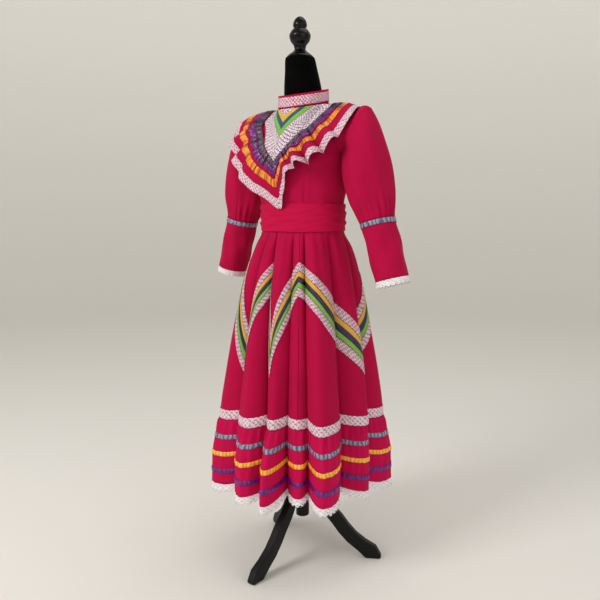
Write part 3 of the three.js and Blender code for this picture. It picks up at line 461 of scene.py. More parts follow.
COLLAR_LACE_MAT = lace("collar_lace", (244, 226, 234), (176, 52, 102), 0.0105, 0.0115, tight=0.35)
SEAM_LACE_MAT = lace("seam_lace", (236, 222, 230), (176, 70, 110), 0.016, 0.015)
HEM_LACE_MAT = lace("hem_lace", (250, 247, 250), (224, 206, 216), 0.018, 0.0125,
                    edge=(0.0245, 0.007))
CUFF_LACE_MAT = lace("cuff_lace", (250, 247, 250), (224, 206, 216), 0.014, 0.010,
                     edge=(0.0196, 0.005))
JERSEY = black("form_jersey", 0.8, 0.04, (25, 3), ((2, 2, 2), (5, 5, 5)), (900, 2), (0.35, 0.0006))
PAINT = (0.25, (14, 4), ((4, 4, 4), (9, 8, 8)), (45, 4), (0.12, 0.001))
WOOD = black("stand_paint", 0.5, *PAINT)
GLOSS_WOOD = black("finial_paint", 0.2, *PAINT)


# ---- skirt ----
LOBE_POWER = 0.85  # below 1 the crests are broader and the hollows narrower


def lobe(start, stop, t):
    """Radius between a crest and a hollow, round over the crest and narrow in
    the hollow, and how near to the crest it is."""
    rise = np.where(start < stop, t, 1 - t)
    crest = sin(rise * pi / 2) ** LOBE_POWER
    return mix(minimum(start, stop), maximum(start, stop), crest), crest


def fold_columns(per_fold):
    """Angles, radii and gore place of columns spread over all the folds."""
    u = np.arange(FOLD_COUNT * per_fold) / per_fold
    i = np.floor(u).astype(int)
    t = u - i
    nxt = (i + 1) % FOLD_COUNT
    turned = np.vstack([FOLDS, FOLDS[:1] + array([360, 360, 0, 0, GORES])])
    knots = np.arange(FOLD_COUNT + 1)
    top, hem, gore = (eased(knots, turned[:, k], u) for k in (0, 1, 4))
    seam, crest = lobe(FOLDS[i, 2], FOLDS[nxt, 2], t)
    edge, _ = lobe(FOLDS[i, 3], FOLDS[nxt, 3], t)
    return dict(u=u, top=radians(top), hem=radians(hem), seam=seam, edge=edge, gore=gore,
                crest=crest)


def seam_z(c):
    return SEAM_Z + 0.13 * maximum(0, 240 - c["seam"])


def hem_z(c):
    return HEM_Z + 0.22 * maximum(0, 250 - c["edge"])


def skirt_points(c, z):
    """Points of the skirt for columns c at heights z of shape (rows, columns)."""
    share = minimum(1, (WAIST_Z - z) / (WAIST_Z - SEAM_Z))
    angle = mix(c["top"], c["hem"], share)
    waist = ellipse_radius(WAIST_A, WAIST_B, angle)
    radius = mix(waist, c["seam"], eased(SPREAD[:, 0], SPREAD[:, 1], z))
    # The hollows start as narrow pleats under the sash.
    pleat = smooth(1070, 1000, z) * smooth(740, 930, z)
    radius = radius - 8 * (1 - c["crest"]) ** 3 * pleat
    # Small tucks fall from the waist, and the cloth is never quite even.
    tucks = 1.1 * sin(angle * 31 + 1.5 * sin(angle * 5)) * smooth(1075, 1030, z)
    radius = radius + tucks * smooth(780, 1010, z)
    radius = radius + 1.7 * wobble(c["u"] * 2.1 + z / 160, 3) * smooth(1040, 900, z)
    return polar(radius, angle, z)


def chevron_arm(c):
    """0 at the peaks of the chevron band, 1 at its valleys."""
    place = c["gore"] - np.floor(c["gore"])
    return minimum(place, 1 - place) * 2


def chevron_z(c):
    return PEAK_Z - PEAK_DROP * chevron_arm(c)


def chevron_height(c):
    """The band is taller on the slanting arms than at its peaks."""
    return mix(PEAK_HEIGHT, VALLEY_HEIGHT, smooth(0, EASE_TO, chevron_arm(c)))


SEAM_TURN_IN = 1.6
GORE_CLOTHS = [f"skirt_gore_cloth_{k + 1}" for k in range(GORES)]
skirt = fold_columns(22)


def between(top, bottom, rows):
    return mix(np.broadcast_to(top, np.shape(bottom)), bottom, linspace(0, 1, rows)[:, None])


skirt_top = np.full(len(skirt["u"]), WAIST_Z - 0.5)
skirt_z = between(skirt_top, seam_z(skirt), 58)
skirt_grid = skirt_points(skirt, skirt_z)
bounds_at = [int(np.argmin(abs(skirt["gore"] - k))) for k in range(GORES)]
for k in range(GORES):
    first, last = bounds_at[k], bounds_at[(k + 1) % GORES]
    if last < first:
        last += len(skirt["u"])
    picks = np.arange(first, last + 1) % len(skirt["u"])
    gore = skirt_grid[:, picks]
    # The seam allowances turn in, so each seam reads as a fine line.
    inward = outward(skirt_grid, True)[:, picks]
    gore[:, [0, -1]] -= inward[:, [0, -1]] * SEAM_TURN_IN
    sheet_of(GORE_CLOTHS[k], gore, False, CLOTH, MAGENTA,
             [f"skirt_gore_{k + 1}"])

# Trims of the band, with the shares of its height that they fill.
STRIP_GAP = 0.008
CHEVRON_STRIPS = [
    ("chevron_lace_upper", 0, 0.265, PINK_LACE, "pink_lace", LACE),
    ("chevron_ribbon_yellow", 0.265, 0.42, YELLOW, "yellow_ribbon", RIBBON),
    ("chevron_ribbon_navy", 0.42, 0.58, NAVY, "navy_ribbon", RIBBON),
    ("chevron_ribbon_green", 0.58, 0.735, GREEN, "green_ribbon", RIBBON),
    ("chevron_lace_lower", 0.735, 1, PINK_LACE, "pink_lace", LACE)]
band_top, band_height = chevron_z(skirt), chevron_height(skirt)
for name, start, stop, material, slot, thick in CHEVRON_STRIPS:
    rows = between(band_top - band_height * (start + STRIP_GAP),
                   band_top - band_height * (stop - STRIP_GAP), 5)
    strip = lifted(skirt_points(skirt, rows), True, LIFT + thick)
    sheet_of(name + "_strip", strip, True, thick, material, [name])
rows = between(seam_z(skirt) + SEAM_LACE, seam_z(skirt) + 0.5, 6)
sheet_of("flounce_seam_lace_band", lifted(skirt_points(skirt, rows), True, LIFT + LACE),
         True, LACE, SEAM_LACE_MAT, ["flounce_seam_lace"])

# ---- flounce ----
flounce = fold_columns(40)
# Shares of the flounce's height, with how far it has spread there and, further
# down, how deep its gathers are.
FLOUNCE_SPREAD = ([0, 0.1, 0.21, 0.56, 1], [0, 0.2, 0.4, 0.91, 1])
GATHER_DEPTH = ([0, 0.06, 0.14, 0.25, 0.5, 0.75, 1], [1.4, 4.4, 3.8, 1.5, 1.5, 0.9, 1.0])
seam_ring = polar(flounce["seam"], flounce["hem"], 0)
flounce_run = run_lengths(seam_ring[None], 1, True)[0, :-1]
flounce_total = run_lengths(seam_ring[None], 1, True)[0, -1]
PUCKERS = 96
round_seam = flounce_run / flounce_total * TAU
pucker_phase = round_seam * PUCKERS + 1.1 * sin(round_seam * 17)
pucker_size = 1 + 0.35 * sin(round_seam * 23 + 1)


def flounce_points(drop):
    """Points of the flounce at shares of its height of shape (rows, columns)."""
    c = flounce
    z = mix(seam_z(c) - 0.3, hem_z(c), drop)
    radius = mix(c["seam"], c["edge"], eased(*FLOUNCE_SPREAD, drop))
    gather = eased(*GATHER_DEPTH, drop)
    radius = radius + gather * pucker_size * cos(pucker_phase + 0.6 * sin(drop * 9))
    radius = radius + 1.6 * wobble(c["u"] * 2.6 + drop * 3, 8)
    return polar(radius, c["hem"], z)


full = np.ones(len(flounce["u"]))
sheet_of("hem_flounce_cloth", flounce_points(between(0 * full, full, 24)), True, CLOTH,
         FLOUNCE_CLOTH, ["hem_flounce"])
RIBBON_HEIGHT = 14
for name, z, material, slot in (
        ("flounce_ribbon_greyblue", 412, GREY, "grey_ribbon"),
        ("flounce_ribbon_yellow", 358, SHINY_YELLOW, "yellow_ribbon"),
        ("flounce_ribbon_purple", 302, PURPLE, "purple_ribbon")):
    start, stop = ((SEAM_Z - z + half) / (SEAM_Z - HEM_Z)
                   for half in (-RIBBON_HEIGHT / 2, RIBBON_HEIGHT / 2))
    strip = lifted(flounce_points(between(start * full, stop * full, 4)), True, LIFT + RIBBON)
    sheet_of(name + "_strip", strip, True, RIBBON, material, [name])
lace_drop = between(0 * full, full, 5)
edge_ring = flounce_points(np.ones((1, len(full))))
hem_lace = np.repeat(edge_ring, 5, 0)
hem_lace[..., 2] -= 0.4 + (HEM_LACE - 0.4) * lace_drop
hem_lace[..., :2] *= 1 + 0.008 * lace_drop[..., None]
sheet_of("hem_lace_edging", hem_lace, True, LACE, HEM_LACE_MAT, ["hem_lace"])

# ---- bodice ----
QUARTER = math.pi / 2


def neck_z(angle):
    return mix(NECK_FRONT, NECK_BACK, (1 - cos(angle)) / 2)


def top_edge(place, back):
    """The neckline from the middle, then the shoulder seam to its tip at 1."""
    turn = minimum(place / NECK_SHARE, 1) * QUARTER
    side = 1 if back else -1
    neck = stack([
        NECK_A * sin(turn), NECK_Y + side * (NECK_B * cos(turn) + 0.4),
        neck_z(pi - turn if back else turn)], -1)
    along = np.clip((place - NECK_SHARE) / (1 - NECK_SHARE), 0, 1)
    seam = stack([
        mix(NECK_A, SHOULDER_X, along), mix(NECK_Y, SHOULDER_Y, along) + side * 0.4,
        mix(neck_z(QUARTER), SHOULDER_Z, along)], -1)
    return np.where((place <= NECK_SHARE)[..., None], neck, seam)


def level_point(level, turn, back):
    """A point of a level of the torso, at a turn from its middle."""
    z, side, a, front, rear = level
    depth = rear if back else -front
    return stack([a * sin(turn), depth * cos(turn), mix(z, side, sin(turn) ** 2)], -1)


def torso_level(step, turn, back):
    """step counts the rows of TORSO from the underarm."""
    return level_point(columns_of(TORSO, step), turn, back)


def upper_point(place, rise, back, carve):
    turn = place * (QUARTER - carve * sin(pi * rise))
    low = torso_level(0 * place, turn, back)
    point = mix(low, top_edge(place, back), rise[..., None])
    puff = sin(pi * rise) * minimum(1, place * 1.4) * (1 - 0.5 * place)
    point[..., 1] += (16 if back else -14) * puff
    point[..., 2] += 15 * puff
    return point


def torso_points(across, row, back, carve):
    """Points of the torso: across runs from -1 to 1, row from 0 at the
    shoulder over 4 at the underarm to 8 at the waist."""
    across, row = np.broadcast_arrays(np.asarray(across, float), np.asarray(row, float))
    place = abs(across)
    upper = upper_point(place, np.clip(1 - row / 4, 0, 1), back, carve)
    lower = torso_level(np.clip(row - 4, 0, 4), place * QUARTER, back)
    point = np.where((row < 4)[..., None], upper, lower)
    point[..., 0] *= np.sign(across) * (-1 if back else 1)
    return point


def torso_panel(across, row, back, lift):
    """Points on the bodice, lifted off it along its normal."""
    step = 0.01
    carve = ARMHOLE_BACK if back else ARMHOLE_FRONT
    at = torso_points(across, row, back, carve)
    along = (torso_points(across + step, row, back, carve)
             - torso_points(across - step, row, back, carve))
    down = (torso_points(across, minimum(row + step, 8), back, carve)
            - torso_points(across, maximum(row - step, 0), back, carve))
    normal = np.cross(down, along)
    normal /= maximum(np.linalg.norm(normal, axis=-1, keepdims=True), 1e-9)
    return at + normal * np.asarray(lift)[..., None]


def bodice_folds(across, row):
    """Darts and soft upright folds that run from the bust to the waist."""
    low = smooth(4.2, 7.6, row)
    dart = -2.4 * np.exp(-((abs(across) - 0.4) / 0.022) ** 2) * smooth(4.6, 6.2, row)
    folds = 1.5 * sin(across * 21 + 0.8 * sin(row * 2.2)) * low
    drape = 1.2 * sin(across * 8 + row * 2.1) * smooth(3, 5, row)
    return dart + folds + drape


def bodice_piece(name, node, start, stop, back):
    columns, rows = (68 if back else 132), 74
    across, row = np.meshgrid(linspace(start, stop, columns), linspace(0, 8, rows))
    edge = smooth(0, 0.04, abs(across - start)) * smooth(0, 0.04, abs(across - stop))
    lift = bodice_folds(across, row) * edge
    points = torso_panel(across, row, back, lift)
    points[:, 0, 0] += 0.4 * np.sign(points[:, 4, 0] - points[:, 0, 0])
    points[:, -1, 0] += 0.4 * np.sign(points[:, -5, 0] - points[:, -1, 0])
    points[..., 1] += 0.5 if back else -0.5
    sheet_of(name, points, False, CLOTH, MAGENTA, [node])


BODICE_FRONT = ["bodice_front_cloth"]
BODICE_BACKS = ["bodice_back_cloth_left", "bodice_back_cloth_right"]
bodice_piece(BODICE_FRONT[0], "bodice_front", -1, 1, False)
bodice_piece(BODICE_BACKS[0], "bodice_back_left", -1, -0.002, True)
bodice_piece(BODICE_BACKS[1], "bodice_back_right", 0.002, 1, True)

# Collar: a standing band with lace over it and narrow gathered edges.
COLLAR_HEIGHT = 37
ring_angle = turns(280)


def collar_points(share, grow):
    """share runs from 0 at the top edge to 1 at the neckline."""
    angle, lean = ring_angle, share - 1
    z = neck_z(angle) + 1 + COLLAR_HEIGHT * (1 - share)
    return stack([
        sin(angle) * (NECK_A + lean + grow),
        NECK_Y - cos(angle) * (NECK_B + lean + grow), z + 0 * share], -1)


share = linspace(0, 1, 16)[:, None]
edge = maximum(smooth(0.2, 0, share), 0.6 * smooth(0.88, 1, share))
ruffle = 1.9 * edge * sin(ring_angle * 62 + 1.4 * sin(ring_angle * 9))
sheet_of("collar_band_cloth", collar_points(share, 0.4 + ruffle), True, CLOTH, MAGENTA,
         ["collar_band"])
share = linspace(0.16, 0.9, 8)[:, None]
weave = 0.35 * sin(ring_angle * 31)
sheet_of("collar_lace_band", collar_points(share, 1.9 + weave), True, LACE, COLLAR_LACE_MAT,
         ["collar_lace"])

# Yoke: V-shaped lace and ribbons, each with the height of its lower point and how
# far out its arms end. On the back the points lie BACK_RISE higher.
YOKE = [
    ("yoke_lace_centre", 1384, 0.1, YOKE_LACE, "pink_lace"),
    ("yoke_ribbon_yellow", 1362, 0.15, YELLOW, "yellow_ribbon"),
    ("yoke_ribbon_blue", 1342, 0.21, BLUE, "blue_ribbon"),
    ("yoke_ribbon_green", 1320, 0.3, GREEN, "green_ribbon"),
    ("yoke_lace_wide", 1248, 0.8, YOKE_LACE, "pink_lace")]
YOKE_TOP, BACK_RISE, YOKE_LIFT = 0.1, 30, 3.4


def yoke_row(back, z):
    rows = linspace(0, 8, 400)
    heights = torso_points(0 * rows, rows, back, 0)[:, 2]
    return float(np.interp(-z, -heights, rows))


for side, back, rise in (("front", False, 0), ("back", True, BACK_RISE)):
    arm = linspace(-1, 1, 81)[None, :]
    upper_across, upper_row = arm * 0.085, 0 * arm + YOKE_TOP * 0.5
    for name, tip, end, material, slot in YOKE:
        tip_row = yoke_row(back, tip + rise)
        lower_across = arm * end
        lower_row = mix(tip_row, YOKE_TOP, abs(arm) ** (1.5 if end > 0.5 else 1))
        down = linspace(0.012, 0.988, 14)[:, None]
        across = mix(upper_across, lower_across, down)
        row = mix(upper_row, lower_row, down)
        sheet_of(f"{name}_{side}_strip", torso_panel(across, row, back, YOKE_LIFT + 0 * across),
                 False, LACE, material, [f"{name}_{side}"])
        upper_across, upper_row = lower_across, lower_row

# ---- bertha frill ----
# Stations round the neck: inner edge, outer edge and size of the ruffles.
BERTHA = array([
    (0, -131, 1250, 16, -120, 1114, 0), (12, -132, 1262, 44, -136, 1178, 3),
    (30, -129, 1286, 84, -146, 1232, 13), (55, -113, 1318, 128, -139, 1240, 16),
    (80, -90, 1352, 165, -110, 1272, 15), (102, -56, 1391, 200, -76, 1325, 10),
    (115, 4, 1418, 210, 4, 1403, 4), (102, 66, 1398, 198, 78, 1340, 8),
    (66, 104, 1350, 138, 120, 1265, 9), (30, 122, 1310, 66, 128, 1215, 6),
    (0, 127, 1283, 0, 121, 1172, 0), (-30, 122, 1310, -66, 128, 1215, 6),
    (-66, 104, 1350, -138, 120, 1265, 9), (-102, 66, 1398, -198, 78, 1340, 8),
    (-115, 4, 1418, -210, 4, 1403, 4), (-128, -56, 1389, -220, -74, 1340, 6),
    (-98, -90, 1350, -203, -92, 1280, 8), (-68, -113, 1314, -160, -118, 1222, 4),
    (-36, -129, 1284, -110, -130, 1178, 2), (-12, -132, 1262, -42, -127, 1145, 0)], float)
BERTHA_COLUMNS, BERTHA_LACE_FROM, BERTHA_SEWN_LIFT = 40, 0.78, 6.2
bertha_u = np.arange(len(BERTHA) * BERTHA_COLUMNS) / BERTHA_COLUMNS
bertha_at = ring_spline(BERTHA, bertha_u)


def sewn_edge(points, lift):
    """The nearest places to these points on the bodice, lifted off it."""
    across, row = np.meshgrid(linspace(-0.95, 0.95, 115), linspace(0.05, 6, 100))
    spots, raised = (concatenate([
        torso_panel(across, row, back, 0 * row + rise).reshape(-1, 3) for back in (False, True)])
        for rise in (0, lift))
    return array([raised[((spots - p) ** 2).sum(1).argmin()] for p in points])


sewn = sewn_edge(bertha_at[:, :3], BERTHA_SEWN_LIFT)
for _ in range(6):
    sewn = (np.roll(sewn, 1, 0) + 2 * sewn + np.roll(sewn, -1, 0)) / 4
sewn_pull = (sewn - bertha_at[:, :3])[None]


def pleat_crest(share):
    """0 in the hollow of a pleat, 1 on its crest."""
    turn = bertha_u[None, :] * TAU
    return abs(sin(turn * 1.15 + 0.9 * sin(turn * 0.45) + 1.4 * share))


def shade_pleats(piece, share):
    """Stores how deep each point lies in its pleat, which the ribbon's colour turns into painted
    shade.
    """
    uneven = 0.75 + 0.25 * sin(bertha_u[None, :] * TAU * 0.55 + 1)
    depth = (1 - pleat_crest(share) ** 1.2) * uneven * mix(1.3, 0.85, share / 0.6)
    layer = piece.data.attributes.new("pleat", "FLOAT", "POINT")
    layer.data.foreach_set("value", np.tile(depth.ravel(), 2).astype(np.float32))


def bertha_points(share, extra=0):
    """share runs from 0 at the yoke to 1 at the free edge."""
    inner, outer = bertha_at[None, :, :3], bertha_at[None, :, 3:6]
    size = maximum(bertha_at[None, :, 6], 0)
    away = stack([outer[..., 0] * 0.4, outer[..., 1], 60 + 0 * outer[..., 0]], -1)
    away /= np.linalg.norm(away, axis=-1, keepdims=True)
    turn = bertha_u[None, :] * TAU
    wave = 0.15 - 1.05 * cos(turn + 0.5 * sin(turn * 0.25)) + 0.12 * cos(2 * turn)
    # Pleats with rounded hollows, which fade out down the frill, and fine gathers.
    pleats = 8 * ((pleat_crest(share) ** 2 + 0.2) ** 0.25 - 0.88) * smooth(0.95, 0.25, share)
    gathers = (pleats + 0.7 * sin(turn * 5.5)) * smooth(-0.05, 0.05, share)
    out = 7 * sin(pi * share) + wave * (size * 1.2 + 1.5) * share**1.2 + gathers + extra
    along = np.roll(outer, -1, 1) - np.roll(outer, 1, 1)
    along /= np.linalg.norm(along, axis=-1, keepdims=True) + 1e-6
    bulge = -0.55 * size * share**1.4 * sin(turn + 0.5 * sin(turn * 0.25))
    pull = sewn_pull * (1 - share[..., None]) ** 2
    return (mix(inner, outer, share[..., None]) + pull + away * out[..., None]
            + along * bulge[..., None])


share = linspace(0, BERTHA_LACE_FROM, 19)[:, None]
sheet_of("bertha_frill_cloth", bertha_points(share), True, CLOTH, MAGENTA,
         ["bertha_frill"])
for name, start, stop, material, slot in (
        ("bertha_ribbon_grey", 0.008, 0.137, MAUVE, "grey_ribbon"),
        ("bertha_ribbon_purple", 0.152, 0.32, PLUM, "purple_ribbon"),
        ("bertha_ribbon_orange", 0.40, 0.57, ORANGE, "orange_ribbon")):
    share = linspace(start, stop, 7)[:, None]
    puff = 1.2 * sin(pi * (share - start) / (stop - start))
    strip = lifted(bertha_points(share, puff), True, LIFT + RIBBON)
    ribbon = sheet_of(name + "_strip", strip, True, RIBBON, material, [name])
    shade_pleats(ribbon, share)
BERTHA_LACE_MAT = lace("bertha_lace", (232, 212, 222), (170, 44, 92), 0.014, 0.011)
share = linspace(BERTHA_LACE_FROM + 0.004, 1, 9)[:, None]
sheet_of("bertha_edge_lace_band", bertha_points(share), True, LACE, BERTHA_LACE_MAT,
         ["bertha_edge_lace"])

# ---- sleeves ----
# Rings from the armhole down: centre, tilt in degrees, half sizes outward and
# forward, and how far the gathers stand out.
PUFF = array([
    (212, 2, 1330, 66, 70, 56, 1.1), (223, 3, 1288, 36, 67, 67, 0.2),
    (232, 5, 1222, 18, 72, 73, 0), (247, 8, 1152, 14, 66, 69, 0.3),
    (262, 11, 1106, 15, 54, 57, 2.0), (268, 11, 1081, 15, 49, 51, 1.4)], float)
LOWER = array([
    (268.1, 11, 1080.6, 15, 49, 51, 0), (293, 12, 1000, 15, 49, 51, 0),
    (319, 13, 917, 16, 47, 50, 0)], float)
sleeve_turn = turns(180)


def sleeve_rings(rings, steps, sign, grow=0):
    """Rings between the table's rings, as (rows, columns, 3)."""
    x, y, z, tilt, out, fore, gather = (c[:, None] for c in columns_of(rings, steps))
    tilt = radians(tilt)
    turn = sleeve_turn
    strength = 1 + 0.5 * sin(turn * 3 + 1) + 0.3 * sin(turn * 11)
    swell = gather * strength * sin(turn * 24 + 1.9 * sin(turn * 4)) + grow
    reach = (out + swell) * cos(turn)
    points = stack([
        sign * (x + reach * cos(tilt)), y - (fore + swell) * sin(turn),
        z + reach * sin(tilt)], -1)
    return points[:, ::-1] if sign > 0 else points


def armhole_ring(sign):
    """The sleeve's first ring, a little outside the bodice's armhole."""
    turn = sleeve_turn
    rise, one = (1 + cos(turn)) / 2, np.ones_like(turn)
    points = np.where((turn > pi)[:, None], upper_point(one, rise, True, ARMHOLE_BACK),
                      upper_point(one, rise, False, ARMHOLE_FRONT))
    points[:, 1] = SHOULDER_Y + (points[:, 1] - SHOULDER_Y) * 1.06
    points[:, 0] -= 2.5
    points[:, 2] += 2.4 * cos(turn)
    points[:, 0] *= sign
    return (points[::-1] if sign > 0 else points)[None]


def sleeve_creases(points, size, seed):
    """Soft slanting creases round a sleeve."""
    row = linspace(0, 1, len(points))[:, None]
    turn = sleeve_turn
    crease = sin(turn * 3 + row * 9 + seed) + 0.6 * sin(turn * 7 - row * 5 + 2 * seed)
    return points + outward(points, True) * (size * crease * sin(pi * row))[..., None]


CUFF_LACE = 20
for side, sign in (("left", 1), ("right", -1)):
    body = sleeve_rings(PUFF, linspace(0, 5, 47), sign)
    # Rows from the armhole to the puff's first ring, bulging up and outward.
    blend = linspace(0, 1, 10)[:-1, None, None]
    bulge = array([sign * 3.0, 0, 5.0]) * sin(pi * blend)
    lead = mix(armhole_ring(sign), body[:1], blend) + bulge
    points = sleeve_creases(concatenate([lead, body]), 3.0, sign)
    sheet_of(f"sleeve_puff_cloth_{side}", points, True, CLOTH, MAGENTA,
             [f"sleeve_puff_{side}"])
    lower = sleeve_creases(sleeve_rings(LOWER, linspace(0, 2, 30), sign), 2.0, 2 + sign)
    sheet_of(f"sleeve_lower_cloth_{side}", lower, True, CLOTH, MAGENTA,
             [f"sleeve_lower_{side}"])
    band = sleeve_rings(LOWER, linspace(0.02, 0.18, 5), sign, 2.4)
    sheet_of(f"sleeve_ribbon_{side}_strip", band, True, RIBBON, GREY,
             [f"sleeve_ribbon_{side}"])
    fall = linspace(0.3, CUFF_LACE, 6)
    cuff = np.repeat(LOWER[-1:], 6, 0)
    cuff[:, 0] += fall * 0.3
    cuff[:, 2] -= fall
    cuff[:, 6] = linspace(0, 0.8, 6)
    sheet_of(f"cuff_lace_edging_{side}", sleeve_rings(cuff, np.arange(6.0), sign), True, LACE,
             CUFF_LACE_MAT, [f"cuff_lace_{side}"])

# ---- sash and its bow ----
SASH_TOP, SASH_BOTTOM, SASH_CLEAR, SASH_THICK = 1129, 1047, 5.4, 1.4
sash_angle = turns(300)
share = linspace(0, 1, 28)[:, None]
bend = 0.42 * sin(sash_angle + 0.8) + 0.18 * sin(3 * sash_angle)
pleats = sin(TAU * (share * 3.1 + bend))
crease = 1.9 * pleats + 1.0 * sin(TAU * (share * 5.3 - 0.8 * cos(2 * sash_angle)))
hold = sin(pi * share) ** 0.5
body = sin(pi * share) * 2.0
radius = ellipse_radius(WAIST_A + SASH_CLEAR, WAIST_B + SASH_CLEAR, sash_angle)
sag = 1.6 * wobble(sash_angle * 1.9, 5) * (share - 0.3)
sash_z = mix(SASH_TOP, SASH_BOTTOM, share) - sag
sheet_of("waist_sash_cloth", polar(radius + crease * hold + body - 1, sash_angle, sash_z), True,
         SASH_THICK, SASH_CLOTH, ["waist_sash"])

KNOT_Y, KNOT_Z = 122.4, 1090
bow_turn = turns(72)


def bow_body(name, node, knots, steps, folds, sign):
    """A soft roll of cloth along X: x, y, half height and half depth."""
    line = linspace(0, len(knots) - 1, steps)
    x, y, wide, thick = (c[:, None] for c in columns_of(array(knots, float), line))
    crease = 1 + 0.07 * sin(bow_turn * folds + x * 0.03)
    points = stack([
        sign * x + 0 * bow_turn, y - sign * sin(bow_turn) * thick * crease,
        KNOT_Z - abs(x) * 0.16 + cos(bow_turn) * wide * crease], -1)
    solid_of(name, points, SASH_CLOTH, [node])


bow_body("sash_knot_cloth", "sash_knot",
         [(-17, KNOT_Y, 12, 5), (-9, KNOT_Y, 19.5, 9.6), (9, KNOT_Y, 19.5, 9.6),
          (17, KNOT_Y, 12, 5)], 20, 5, 1)
TAIL = array([
    (6, 123.4, 1069.6, 8), (16, 141, 990, 20), (26, 182, 850, 26), (34, 211, 700, 30)], float)
for side, sign in (("left", 1), ("right", -1)):
    bow_body(f"sash_loop_cloth_{side}", f"sash_loop_{side}",
             [(17.3, 123, 9, 4), (34, 128, 22, 10.5), (52, 127, 27, 12.5), (66, 121, 18, 7)],
             34, 7, sign)
    x, y, z, wide = (c[:, None] for c in columns_of(TAIL, linspace(0, 3, 40)))
    k = linspace(1, -1, 17)[None, :]
    points = stack([
        sign * x - k * wide * 0.5 + sign * wide / 2,
        y + 2 + 1.4 * cos(k * 5.5) * linspace(0.4, 1, 40)[:, None], z + 0 * k], -1)
    sheet_of(f"sash_tail_cloth_{side}", points, False, SASH_THICK, SASH_CLOTH,
             [f"sash_tail_{side}"])

# ---- dress form and stand ----
# Below the waist: height, half width and half depth.
FORM_LOW = [(1040, 128, 101), (990, 129, 103), (935, 131, 106), (900, 126, 101), (884, 108, 84)]


def torso_ring(point_at):
    """A closed ring, front half from the right to the left, then the back."""
    across = linspace(-0.94, 0.94, 49)
    return concatenate([point_at(across, False), point_at(across, True)])


def shoulder_ring(rise, inset):
    def point(across, back):
        p = upper_point(abs(across), np.full_like(across, rise), back, 0.2)
        p[:, 1] += (-1 if back else 1) * inset
        p[:, 2] -= 2.8
        p[:, 0] = (p[:, 0] - inset * abs(across)) * np.sign(across) * (-1 if back else 1)
        return p
    return torso_ring(point)


def level_ring(level):
    return torso_ring(
        lambda across, back: level_point(level, across * QUARTER * (-1 if back else 1), back))


# How far up each ring lies between underarm and shoulder, and inside the bodice.
SHOULDER_RINGS = [(0.9, 6), (0.75, 8), (0.6, 10.5), (0.45, 13), (0.3, 16)]
rings = [shoulder_ring(rise, inset) for rise, inset in SHOULDER_RINGS]
FORM_INSET = 9.5
levels = [(z, side, *(x - FORM_INSET for x in half)) for z, side, *half in TORSO[:-1]]
levels += [(z, z, a - 0.5, b - 0.5, b - 0.5) for z, a, b in FORM_LOW]
levels = array(levels)
for step in linspace(0, len(levels) - 1, 41):
    rings.append(level_ring(columns_of(levels, step)))


def closed_torso(points):
    """Torso rings with their two ends drawn together to a line."""
    def shut(ring, shares, drop):
        half = len(ring) // 2
        partner = concatenate([ring[half:][::-1], ring[:half][::-1]])
        return [mix(ring, (ring + partner) / 2, s) - array([0, 0, drop * s]) for s in shares]
    top = shut(points[0], (0.999, 0.9, 0.6, 0.3), 0)
    bottom = shut(points[-1], (0.12, 0.3, 0.6, 0.9, 0.999), -2)
    return concatenate([array(top), points, array(bottom)])


solid_of("form_torso_cover", closed_torso(array(rings)), JERSEY, ["form_torso"])


def turned(name, node, profile, columns, material, slot, lean=lambda z: 0 * z, steps=6):
    """A body turned round the post's axis, or a leaning one, from heights and radii."""
    line = linspace(0, len(profile) - 1, (len(profile) - 1) * steps + 1)
    z, r = (c[:, None] for c in columns_of(array(profile, float), line))
    angle = turns(columns)
    points = polar(r + 0 * angle, angle, z)
    points[..., 1] += lean(z)
    solid_of(name, points, material, [node])


# The neck leans from the torso to the finial: heights, and its middle's Y there.
NECK_LEAN = ([1404, 1435, 1470, 1520, 1550, 1558], [4, 4, 1, -6, -11, -12])
FINIAL_Y = NECK_LEAN[1][-1]
turned("form_neck_cover", "form_neck",
       [(1558, 38), (1557.6, 42), (1550, 45), (1520, 49), (1470, 56), (1435, 58), (1408, 58)],
       72, JERSEY, "black_jersey", lambda z: eased(*NECK_LEAN, z))
turned("neck_finial_turned", "neck_finial",
       [(1675, 0.6), (1674, 6), (1670, 12), (1662, 18), (1650, 21), (1641, 18.5), (1636, 24),
        (1620, 32), (1606, 29), (1592, 19), (1582, 17), (1573, 24), (1568, 31), (1562, 38),
        (1558.4, 40), (1558.2, 36)], 72, GLOSS_WOOD, "black_wood", lambda z: 0 * z + FINIAL_Y, 8)
turned("stand_post_turned", "stand_post",
       [(883.7, 28), (882.5, 30), (873, 30), (868, 13), (866, 13), (332, 13), (330, 16),
        (327, 20.6), (324, 21), (136, 21), (133, 20), (131, 17)], 48, WOOD, "black_wood")

# Legs: a board with rounded edges that curves from the hub down to its foot.
LEG_CURVE = [
    (21.4, 300), (30, 270), (44, 225), (62, 188), (84, 156), (112, 125), (134, 95),
    (160, 66), (192, 41), (228, 20)]
LEG_THICK, LEG_DEEP, FOOT_REACH = 26, 42, 248
LEG_DEGREES = (2, 122, 242)  # from the front towards the wearer's left


def leg_outline():
    line = array(LEG_CURVE, float)
    along = np.gradient(line, axis=0)
    along /= np.linalg.norm(along, axis=1, keepdims=True)
    side = stack([-along[:, 1], along[:, 0]], 1)
    reach = minimum(LEG_DEEP / 2, 12 + 1.8 * np.arange(len(line)))[:, None]
    upper, lower = line + side * reach, line - side * reach
    upper[0], lower[0] = (21.4, 330), (21.4, 262)
    tip = [(FOOT_REACH, 22), (FOOT_REACH + 8, 8), (FOOT_REACH + 4, 0), (206, 0)]
    under = [p for p in lower[:-1][::-1] if p[0] > 21.3 and p[1] > 2 and p[0] < 200]
    return np.vstack([upper, tip, under])


